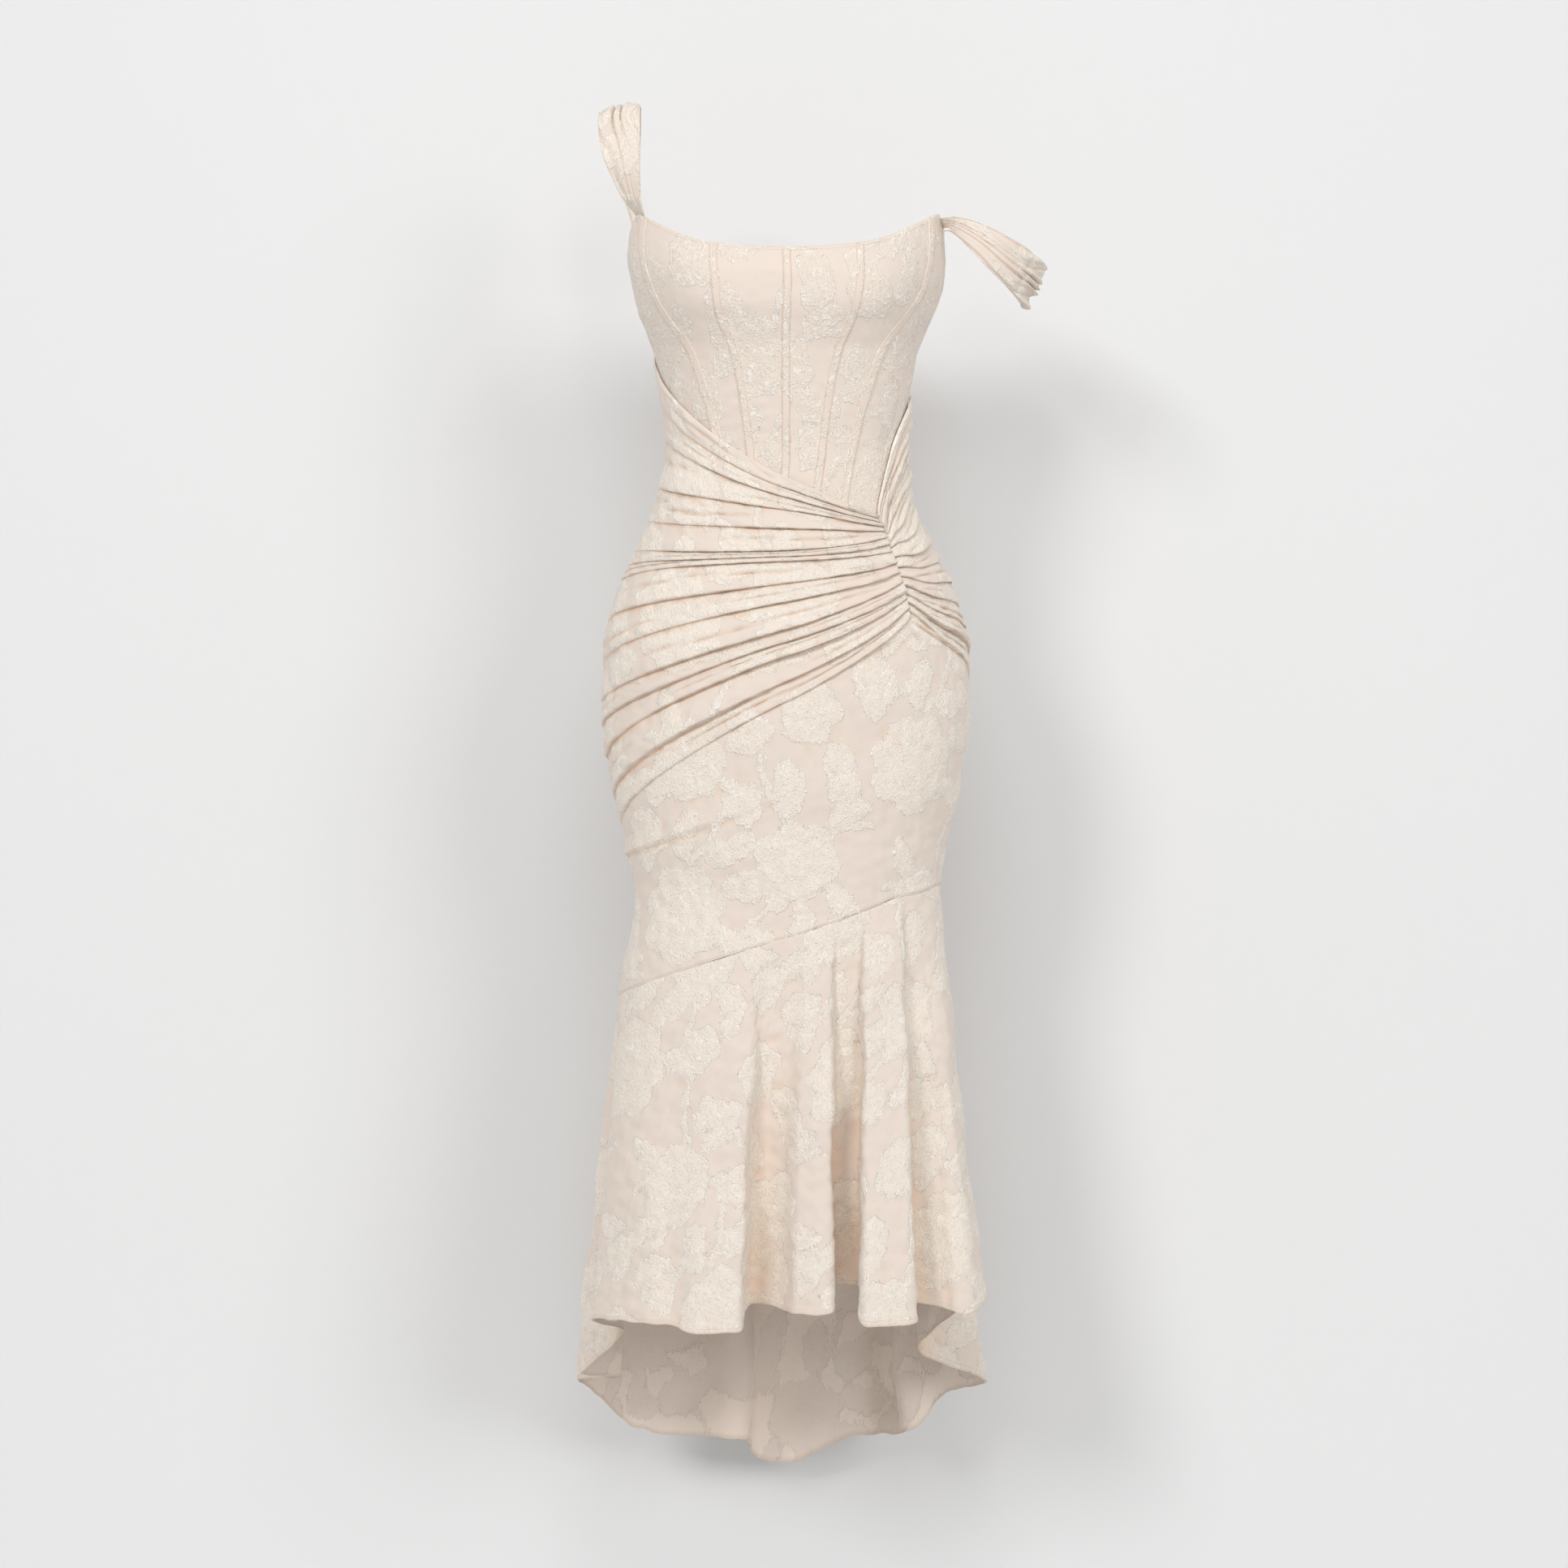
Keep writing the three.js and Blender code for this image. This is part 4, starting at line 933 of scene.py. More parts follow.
# Pleats: how high each stands on both sides of the gather, and the angle at which it has faded
pleats = columns("line right left fades", [
    (0, 2.4, 3.2, -140),
    (1, 3.2, 4.4, -140),
    (2, 4.0, 4.8, -140),
    (3, 3.6, 4.6, -125),
    (4, 3.4, 4.2, -110),
    (5, 3.0, 3.8, -110),
    (6, 3.4, 3.4, -130),
    (7, 4.6, 3.4, -130),
    (8, 4.2, 3.0, -110),
    (9, 5.2, 3.0, -130),
    (10, 5.6, 2.8, -130),
    (11, 6.0, 3.4, -140),
    (12, 6.4, 4.6, -150),
    (13, 3.2, 3.4, -130),
])
skirt = {
    "backStep": 2.4, "backWide": 300, "perPleat": 15, "plainRows": 92, "rightColumns": 162, "leftColumns": 76,
    "crest": 0.86, "pinch": 0.95, "pinchDeg": 12, "overhang": 0.42, "leftFadeDeg": 62, "pucker": 0.4,
    "drape": 1.0, "pleatCloth": 15.0, "foldAtSide": 0.45, "puffAtSide": 0.3, "groove": -1.3, "band": 0.5,
    "bandHigh": 6.5, "fine": 0.35, "tuckShadowAtSide": 0.3, "tuckShadowGrowsDeg": 110, "calmDeg": 7, "waistShare": 0.4,
    "waistOver": 16, "drag": 1.1, "backDrape": 0.8,
}
# Short creases: line number, from and to what angle, how deep and how broad in lines
creases = [
    (0.45, -97, -20, 0.9, 0.10),
    (1.55, -60, 30, 0.8, 0.09),
    (2.35, -97, -42, 1.5, 0.10),
    (2.62, -20, 40, 1.3, 0.10),
    (3.30, -88, -52, 1.6, 0.10),
    (3.55, -70, -8, 1.8, 0.10),
    (4.45, -30, 42, 1.4, 0.12),
    (5.50, -60, 42, 1.1, 0.13),
    (6.55, -97, -30, 1.5, 0.12),
    (6.40, -5, 42, 1.3, 0.12),
    (7.45, -70, 10, 1.6, 0.10),
    (8.60, -97, -45, 1.8, 0.10),
    (8.42, -24, 42, 1.2, 0.11),
    (9.50, -52, 36, 1.4, 0.10),
    (10.4, -97, -58, 1.6, 0.10),
    (10.5, 0, 42, 1.3, 0.11),
    (11.5, -40, 40, 1.5, 0.10),
    (12.5, -97, -50, 1.4, 0.09),
    (12.6, 4, 42, 1.4, 0.12),
    (13.5, -36, 42, 1.8, 0.12),
    (14.06, 40, 74, 2.6, 0.07),
    (14.30, 36, 52, 1.6, 0.10),
    (2.5, 46, 97, 1.5, 0.12),
    (4.5, 46, 90, 1.4, 0.12),
    (7.5, 46, 80, 1.0, 0.14),
    (10.5, 46, 76, 1.0, 0.13),
    (12.5, 46, 84, 1.2, 0.12),
    (13.5, 45, 97, 1.8, 0.10),
    (0.72, 20, 42, 1.2, 0.12),
    (1.28, 24, 42, 1.0, 0.12),
    (3.28, 14, 42, 1.3, 0.11),
    (5.20, 22, 42, 1.1, 0.11),
    (7.70, 18, 42, 1.3, 0.10),
    (9.30, 26, 42, 1.2, 0.11),
    (11.3, 22, 42, 1.4, 0.10),
    (13.2, 26, 42, 1.3, 0.11),
    (1.50, 44, 84, 1.6, 0.13),
    (3.50, 44, 97, 1.8, 0.12),
    (5.50, 44, 78, 1.5, 0.12),
    (6.50, 44, 97, 1.3, 0.12),
    (8.60, 44, 74, 1.4, 0.12),
    (9.50, 44, 92, 1.5, 0.12),
    (11.6, 44, 97, 1.9, 0.11),
    (12.9, 44, 97, 2.2, 0.09),
]
lowPleat = {"line": 15, "fromDeg": -120, "toDeg": 6, "rise": 3.6, "width": 0.075, "lean": 2.6}


def pleatShape(t, crest):
    # From one hollow to the next: a slow rise, a rounded crest and a sharp tuck under it
    rise = (1 - np.cos(np.pi * np.clip(t / crest, 0, 1))) / 2
    rise = mix(rise, np.sin(np.pi / 2 * np.clip(t / crest, 0, 1)), 0.5)
    fall = np.clip((t - crest) / (1 - crest), 0, 1)
    return np.where(t < crest, rise, (1 - fall ** 2.0) ** 0.6)


def tuckUnder(t, crest):
    # How far the lower edge of a pleat hangs over the next one
    fall = np.clip((t - crest * 0.8) / (1 - crest * 0.8), 0, 1)
    return np.sin(np.pi * fall) ** 0.8


def halfStep(deg):
    # Past the gathered seam the pleats are set half a step against those before it
    return np.where(deg > gatherDeg, 0.5 * bell(deg - gatherDeg, 9), 0)


def foldAt(line, deg):
    # The number of the pleat at a place, how far down it that is, where its crest lies, and how far
    # the place is from the gathered seam
    moved = np.clip(line + halfStep(deg), 0, pleatCount)
    number = np.clip(np.floor(moved), 0, pleatCount - 1).astype(int)
    aside = smooth(np.abs(deg - gatherDeg) / skirt["pinchDeg"])
    return number, np.clip(moved - number, 0, 1), mix(0.62, skirt["crest"], aside), aside


def foldSize(number, deg, aside):
    # How high a pleat stands at an angle, in millimetres
    right, left, fades = (pleats[n][number] for n in ("right", "left", "fades"))
    toRight = right * smooth((deg - fades) / (gatherDeg - fades) / 0.6)
    toLeft = 1.15 * left * (1 - 0.35 * smooth((deg - gatherDeg) / skirt["leftFadeDeg"]))
    uneven = 1 + 0.25 * np.sin(number * 2.4 + deg / 17.0) + 0.14 * np.sin(number * 5.1 + deg / 7.0)
    return np.where(deg <= gatherDeg, toRight, toLeft) * uneven * mix(skirt["pinch"], 1, aside)


def eachCrease(line, deg):
    # For each short crease, its depth at a place and how far away it is, in its own breadths
    for at, start, end, depth, broad in creases:
        over = smooth((deg - start) / 14 + 0.15) * smooth((end - deg) / 14 + 0.15)
        yield depth * over, (line - at - 0.05 * np.sin(deg / 9.0 + at * 7)) / broad


def pleatRise(line, deg):
    number, t, crest, aside = foldAt(line, deg)
    swell = pleatShape(t, crest)
    swell = np.where(number == 0, np.maximum(swell, 0.75 * smooth(t / 0.08 + 0.4)), swell)
    rise = np.where(line < pleatCount, swell * foldSize(number, deg, aside), 0)
    across = (line - lowPleat["line"]) / lowPleat["width"]
    low = np.where(across > 0, bell(across, 1 / lowPleat["lean"]), bell(across, lowPleat["lean"]))
    along = smooth((lowPleat["toDeg"] - deg) / 45) * smooth((deg - lowPleat["fromDeg"]) / 30)
    rise = rise + lowPleat["rise"] * low * along
    for depth, away in eachCrease(line, deg):
        rise = rise - 1.1 * depth * (np.exp(-np.abs(away * 1.5) ** 1.4) - 0.6 * bell(away + 1.3, 1))
    return rise


def creaseShade(line, deg):
    # 1 in the bottom of each short crease
    total = np.zeros(np.shape(line))
    for depth, away in eachCrease(line, deg):
        total = np.maximum(total, 0.45 * depth * bell(away, 0.35))
    return total


def seamGroove(distance):
    # The cloth dips a little along a seam
    return -0.3 * bell(distance, 1.2)


def calmAtSeams(deg):
    # 0 at the side edges of a cloth and 1 away from them, so that two cloths lie level at their seam
    return smooth(np.minimum(deg - deg[:, :1], deg[:, -1:] - deg) / skirt["calmDeg"])


def buildSkirtFront():
    share = 1 - (1 - np.linspace(0, 1, skirt["perPleat"] + 1)[:-1]) ** 1.55
    tucked = np.concatenate([k + share for k in range(pleatCount)])
    lines = np.concatenate([tucked, np.linspace(pleatCount, kneeLine, skirt["plainRows"] + 1)])
    start = column(rightSideForward, "z", "deg", acrossHeight(lines, -form["sideSeam"])) + sideGap
    u = np.linspace(0, 1, skirt["rightColumns"] + 1)
    toGather = mix(u, 1 - (1 - u) ** 1.7, 0.5)
    v = np.linspace(0, 1, skirt["leftColumns"] + 1)[1:]
    past = mix(gatherDeg, form["sideSeam"] - sideGap, mix(v, v ** 1.6, 0.5))
    deg = np.concatenate([mix(start[:, None], gatherDeg, toGather[None, :]),
                          np.repeat(past[None, :], len(lines), axis=0)], axis=1)
    line = np.repeat(lines[:, None], deg.shape[1], axis=1)
    pleated = line < pleatCount
    number, down, crest, aside = foldAt(line, deg)
    size = foldSize(number, deg, aside)
    hang = skirt["overhang"] * size * tuckUnder(down, crest)
    z = acrossHeight(line, deg) - np.where(pleated & (number > 0), hang, 0)
    z[-1] += cloth["kneeGap"] / 2
    lowest = acrossHeight(pleatCount, deg)
    t = np.where(pleated, lowest + 0.5 * (z - lowest) + skirt["pleatCloth"] * (pleatCount - line), z)
    s = roundArc(deg, z)
    uv = np.stack([s + 400, t + 700], axis=-1)
    inside, inner = patternAt(uv)
    gathered = smooth((14.6 - line) / 1.2)
    nearGather = bell(deg - gatherDeg, 26) * gathered
    calm = calmAtSeams(deg)
    fold = pleatRise(line, deg) * mix(skirt["foldAtSide"], 1, calm)
    pulls = 0.7 + 0.6 * np.cos(2 * np.pi * line) ** 2
    groove = skirt["groove"] * pulls * bell(deg - gatherDeg, 1.3)
    groove = groove * smooth((14.1 - line) / 0.8) * smooth(line / 0.4)
    drape = skirt["drape"] * calm * (1 - gathered) * ripple(s, t, 170, 80, 7, 9)
    puff = puffed(uv, inside, skirt["pucker"], 21) * mix(1, 0.5, nearGather)
    puff = puff * mix(skirt["puffAtSide"], 1, calm)
    knee = z - acrossHeight(kneeLine, deg)
    edge = seamGroove(knee) + skirt["band"] * smooth((skirt["bandHigh"] - knee) / 1.5 + 0.5)
    fine = skirt["fine"] * gathered * ripple(s * 0.3, t, 16, 7, 31)
    out = form["skirtLift"] + fold + groove + drape + puff + edge + fine + turnedEdges(deg.shape)
    outer = onFigure(deg, z, out)
    behind = onFigure(deg, z, form["skirtLift"] + 0.75 * fold + drape - cloth["thick"] - 0.2)[::2, ::2]
    away = outwards(outer)
    # Painted shadow: thin dark lines under the overhanging edge of each pleat and in the short creases, broken
    # along their length and fainter towards the wearer's right side seam
    nearest = np.round(line + halfStep(deg)) - halfStep(deg)
    apart = acrossHeight(np.clip(nearest, 0, pleatCount), deg) - z
    broken = np.clip(0.55 + 0.45 * ripple(s * 0.4, t * 0.4, 16, 5, 77), 0.15, 1)
    tuck = bell(apart, 0.9) * np.clip(size / 3.5, 0, 1) * (line < 14.2) * (line > 0.5)
    tuck = np.maximum(tuck, creaseShade(line, deg)) * broken
    tuck = tuck * mix(skirt["tuckShadowAtSide"], 1, smooth((deg + form["sideSeam"]) / skirt["tuckShadowGrowsDeg"]))
    # Painted shade deep in the folds, and the painted shadow lines of the tucks
    marks = {"inside": inside, "lines": inner, "hollow": hollows(outer, away), "tuck": tuck}
    makeCloth("skirt_front", outer, behind, uv, marks, bothFaces,
              runs=[onTop(outer, away)[-2, 1:-1]])


def buildSkirtBacks():
    side, middle, waist = form["sideSeam"], float(halfGap(180)), form["waistSeam"]
    foot = float(acrossHeight(kneeLine, -side))
    rows = np.linspace(waist, foot, odd(waist - foot, skirt["backStep"]))
    forward = 360 + column(rightSideForward, "z", "deg", rows)
    halves = [
        ("skirt_back_left", side + sideGap + 0 * rows, 180 - middle + 0 * rows, side),
        ("skirt_back_right", 180 + middle + 0 * rows, forward - sideGap, 360 - side),
    ]
    for number, (name, start, end, pulled) in enumerate(halves):
        u = np.linspace(0, 1, odd(skirt["backWide"], skirt["backStep"]))
        deg = mix(start[:, None], end[:, None], u[None, :])
        v = (rows - foot)[:, None] / (waist - foot)
        z = mix(kneeSeam(deg) + cloth["kneeGap"] / 2, waist - cloth["seamGap"] / 2, v)
        s = roundArc(deg, z)
        uv = np.stack([s + 130 * number, z + 620 + 90 * number], axis=-1)
        inside, inner = patternAt(uv)
        calm = calmAtSeams(deg)
        drape = skirt["backDrape"] * ripple(s, z, 160, 70, 11 + number, 9) * smooth((waist - z) / 40)
        drag = skirt["drag"] * smooth((-60 - z) / 60) * smooth((z + 420) / 160) * bell(deg - pulled, 45)
        drape = calm * (drape + drag * ripple(s * 0.35 + 0.35 * z, z, 60, 26, 13 + number))
        puff = puffed(uv, inside, skirt["pucker"], 23 + number) * mix(skirt["puffAtSide"], 1, calm)
        lift = form["skirtLift"] * mix(skirt["waistShare"], 1, smooth((waist - z) / skirt["waistOver"]))
        edge = seamGroove(z - kneeSeam(deg)) + seamGroove(waist - z) + turnedEdges(deg.shape)
        outer = onFigure(deg, z, lift + drape + puff + edge)
        behind = onFigure(deg, z, lift + drape - cloth["thick"])[::2, ::2]
        away = outwards(outer)
        # Painted shade deep in the folds
        marks = {"inside": inside, "lines": inner, "hollow": hollows(outer, away)}
        makeCloth(name, outer, behind, uv, marks, bothFaces, runs=[onTop(outer, away)[-2, 1:-1]])


print("skirt")
buildSkirtFront()
buildSkirtBacks()


flounce = {
    "rows": 169, "frontColumns": 441, "backColumns": 351, "pucker": 0.55, "drape": 1.4, "hemBand": 6.0,
    "hemEdge": 3.0, "hemWave": 0.9, "calmSide": 0.035, "puffAtSide": 0.3,
}
# The hem turn by turn, all round from the wearer's right front corner: the angle of the knee seam above,
# the place, which way the hem runs there, how long it keeps that way, and how much the cloth bows out
hemTurns = columns("seam x y z runs reach bow", [
    (-78, -191, -75, -891, -62, 16, 0),
    (-46, -122, -134, -890, -14, 24, 0),
    (-24, -82, -154, -899, -6, 16, 0),
    (-13, -52, -158, -898, 6, 9, 0),
    (-9.5, -42, -146, -894, 82, 7, 0),
    (-7, -39, -114, -880, 84, 10, 0),
    (-4, -27, -98, -873, 8, 8, 0),
    (2, -6, -112, -876, -46, 12, 0),
    (7, 13, -145, -881, -26, 11, 0),
    (13, 40, -153, -881, 8, 8, 0),
    (15.5, 49, -141, -877, 92, 6, 0),
    (17, 46.5, -104, -862, 92, 10, 0),
    (18.5, 54, -90, -856, 5, 5, 0),
    (26, 70, -91, -856, -10, 5, 0),
    (27.5, 76, -106, -862, 268, 10, 0),
    (29, 74.5, -146, -882, 268, 6, 0),
    (31, 84, -161, -891, -5, 7, 0),
    (44, 121, -160, -889, 8, 7, 0),
    (46.5, 131, -148, -887, 93, 6, 0),
    (48.5, 127.5, -108, -878, 92, 10, 0),
    (50.5, 134, -92, -874, 5, 6, 0),
    (58, 158, -98, -878, -22, 10, 0),
    (70, 182, -108, -884, 15, 12, 0),
    (84, 203, -56, -868, 90, 22, -0.3),
    (108, 137, 40, -931, 90, 16, 0),
    (124, 207, 92, -970, 90, 20, -0.1),
    (138, 168, 142, -988, 160, 16, 0),
    (149, 134, 140, -1026, 185, 10, 0),
    (151.5, 121, 150, -1030, 95, 7, 0),
    (154, 124, 186, -1034, 90, 8, 0),
    (157, 112, 200, -1036, 180, 10, 0),
    (166, 74, 190, -1036, 180, 18, 0),
    (180, 2, 215, -1067, 180, 22, 0),
    (188, -24, 206, -1062, 200, 8, 0),
    (191, -35, 180, -1050, 268, 10, 0),
    (194, -37, 152, -1038, 250, 7, 0),
    (198, -58, 142, -1034, 175, 11, 0),
    (206, -112, 176, -1034, 180, 22, 0),
    (218, -150, 160, -1026, 200, 18, 0.1),
    (232, -190, 118, -989, 238, 18, 0.3),
    (245, -211, 68, -966, 270, 16, 0.6),
    (254, -166, 42, -961, 270, 12, 0),
    (262, -205, 12, -954, 270, 14, 0.5),
    (272, -162, -30, -908, 270, 16, 0),
    (282, -191, -75, -891, -62, 16, 0),
])
hemTurns["at"] = np.arange(len(hemTurns["seam"]), dtype=float)


def hemAt(q):
    # The hem at a place along it, counted in turns
    i = np.clip(np.floor(q).astype(int), 0, len(hemTurns["x"]) - 2)
    t = (q - i)[:, None]
    plan = np.stack([hemTurns["x"], hemTurns["y"]], axis=-1)
    way = np.radians(hemTurns["runs"])
    reach = hemTurns["reach"][:, None] * np.stack([np.cos(way), np.sin(way)], axis=-1)
    a, b, c, d = plan[i], plan[i] + reach[i], plan[i + 1] - reach[i + 1], plan[i + 1]
    flat = a * (1 - t) ** 3 + 3 * b * t * (1 - t) ** 2 + 3 * c * t * t * (1 - t) + d * t ** 3
    z, seam, bow = (column(hemTurns, "at", name, q) for name in ("z", "seam", "bow"))
    return np.concatenate([flat, z[:, None]], axis=1), seam, bow


def unrolled(top, hem):
    # Lays the straight strips between two edges out flat, side by side
    downs = np.linalg.norm(hem - top, axis=-1)
    a = np.linalg.norm(np.diff(top, axis=0), axis=-1)
    b = np.linalg.norm(np.diff(hem, axis=0), axis=-1)
    turn = (b - a) / ((downs[:-1] + downs[1:]) / 2)
    facing = np.concatenate([[0], np.cumsum(turn)])
    facing -= np.interp(0.5, np.linspace(0, 1, len(facing)), facing)
    middle = (facing[:-1] + facing[1:]) / 2
    s = np.concatenate([[0], np.cumsum(a * np.cos(middle))])
    t = np.concatenate([[0], np.cumsum(a * np.sin(middle))])
    return s, t, facing, downs


def buildFlounce():
    last = len(hemTurns["x"]) - 1
    dense = np.linspace(0, last, last * 60 + 1)
    hem, seam, _ = hemAt(dense)
    run = np.concatenate([[0], np.cumsum(np.linalg.norm(np.diff(hem, axis=0), axis=-1))])
    corner, side = hemTurns["seam"][0], form["sideSeam"]
    sideRun = float(np.interp(side, seam, run))
    gap = cloth["seamGap"] / 2
    front, back, end = flounce["frontColumns"], flounce["backColumns"], run[-1] - gap
    halves = [
        ("flounce_front", corner, side, gap, sideRun - gap, front, (300, 900), 41),
        ("flounce_back", side, corner + 360, sideRun + gap, end, back, (500, 980), 43),
    ]
    down = np.linspace(0, 1, flounce["rows"])[:, None]
    for name, fromDeg, toDeg, fromRun, toRun, cols, cut, seed in halves:
        q = np.interp(np.linspace(fromRun, toRun, cols), run, dense)
        hem, deg, bow = hemAt(q)
        deg = np.clip(deg, fromDeg + sideGap, toDeg - sideGap)
        turned = np.where(deg > 180, deg - 360, deg)
        top = onFigure(turned, kneeSeam(deg) - cloth["kneeGap"] / 2, form["skirtLift"])
        s0, t0, facing, downs = unrolled(top, hem)
        base = mix(top[None], hem[None], (down + bow * down * (1 - down))[..., None])
        base[..., 2] = mix(top[None, :, 2], hem[None, :, 2], down)
        fromTop, fromHem = down * downs, (1 - down) * downs
        s, t = s0 + np.sin(facing) * fromTop, t0 - np.cos(facing) * fromTop
        uv = np.stack([s + cut[0], t + cut[1]], axis=-1)
        inside, inner = patternAt(uv)
        away = outwards(base)
        grow = smooth(fromTop / 120)
        toSide = np.minimum(np.linspace(0, 1, cols), np.linspace(1, 0, cols))
        calm = smooth(toSide / flounce["calmSide"])[None, :]
        drape = flounce["drape"] * grow * calm * ripple(s, t, 150, 60, seed, 12) * smooth(fromHem / 30)
        puff = puffed(uv, inside, flounce["pucker"], seed + 1) * mix(0.7, 1, grow)
        puff = puff * mix(flounce["puffAtSide"], 1, calm)
        edge = seamGroove(fromTop) + 0.45 * smooth((flounce["hemBand"] - fromHem) / 1.6 + 0.5)
        out = drape + puff + edge + turnedEdges(base.shape[:2])
        outer = base + away * out[..., None]
        behind = base + away * (0.8 * drape - cloth["thick"])[..., None]
        wobble = flounce["hemWave"] * ripple(s, 0 * s, 46, 14, seed + 2, 14)[-1]
        for grid in (outer, behind):
            grid[..., 2] += wobble[None, :] * smooth(1 - fromHem / 25)
        hemLine = smooth((flounce["hemEdge"] - fromHem) / 2.4) + 0 * s
        # Painted shade deep in the folds
        marks = {"inside": inside, "lines": inner, "hollow": hollows(outer, away), "hem": hemLine}
        makeCloth(name, outer, behind[::2, ::2], uv, marks, bothFaces,
                  runs=[onTop(outer, away)[-3, 1:-1]])


print("flounce")
buildFlounce()


# Straps: the middle line, half the band from it to one edge, and how much the band is gathered
strapRight = columns("x y z across back up gather", [
    (-153, -33, 231, 8.2, -5, 1, 0.8),
    (-158, -39, 251, 13.6, -3, 1.5, 1.2),
    (-162.5, -41, 271, 18, 0, 2, 1.6),
    (-165, -38, 290, 20.4, 0, 2.5, 2),
    (-165.5, -27, 308, 21, 0, 3.5, 2.4),
    (-165.5, -11, 319, 21, 0, 4, 2.6),
    (-165.5, 6, 322, 21, 0, 4, 2.6),
    (-165.5, 24, 317, 20.5, 0, 3.5, 2.4),
    (-164.5, 38, 302, 19, 0, 2.5, 2),
    (-162, 46, 279, 15.5, 1, 2, 1.6),
    (-157.5, 48, 253, 10.5, 3, 1, 1.2),
    (-152, 44, 226, 7, 4, -1, 0.8),
    (-147, 37, 203, 6, 7, -2.5, 0.5),
])
strapLeft = columns("x y z across back up gather", [
    (166, -27, 207.5, 0, -4, 5, 0.4),
    (172, -37, 205, 2.5, -3, 6.8, 0.6),
    (181, -46, 200, 5.5, -1.5, 8.5, 0.9),
    (198, -53, 188, 7.5, 0, 12.3, 1.2),
    (215, -53, 175, 8.5, 0, 15.8, 1.6),
    (231, -45, 163.5, 9, 0, 18.8, 2.2),
    (243, -30, 153, 10, 0, 20.5, 3),
    (250, -10, 145.5, 10.5, 0, 22, 3.4),
    (251, 8, 146.5, 10.5, 0, 21.5, 3.4),
    (246, 29, 154, 9.5, 0, 19.5, 3),
    (234, 46, 165.5, 8, 0, 16.5, 2.2),
    (217, 55, 179, 7, 0, 13, 1.6),
    (198, 58, 194, 4.5, 0, 9.5, 1.2),
    (181, 55, 204.5, 0.5, 1, 6.5, 0.8),
    (167, 49, 210.5, -1, 3.4, 4.8, 0.5),
    (156, 39, 203, -2.8, 6.5, 1.5, 0.4),
])
# Ends: the angles of the two edges, how far below the top edge, how far out, and which face is in
straps = [
    {
        "node": "strap_right", "rows": strapRight, "waves": 1.9, "cut": (40, 20), "seed": 61,
        "frill": 0, "frillAt": 0.5, "deeper": 0.9,
        "front": (-80, -67, -0.4, -0.4, 0, -1), "back": (-106, -120, -0.4, -0.4, 0, -1),
    },
    {
        "node": "strap_left", "rows": strapLeft, "waves": 2.4, "cut": (120, 60), "seed": 63,
        "frill": 1.7, "frillAt": 0.48, "deeper": 0.1,
        "front": (84, 80, 6, 2.5, 0.4, 1), "back": (106, 118, -0.4, -0.4, 0, -1),
    },
]
strapGrid = {"along": 160, "across": 48, "endRows": 8, "fullness": 1.5, "pucker": 0.15, "fadeOver": 14}


def spline(points, t):
    # A smooth curve through points, evenly counted
    last = len(points) - 1
    at = np.clip(t * last, 0, last - 1e-9)
    i = np.floor(at).astype(int)
    before, a, b, after = (points[np.clip(i + k, 0, last)] for k in (-1, 0, 1, 2))
    return cubic(a, b, (b - before) / 2, (after - a) / 2, 1, (at - i)[:, None])


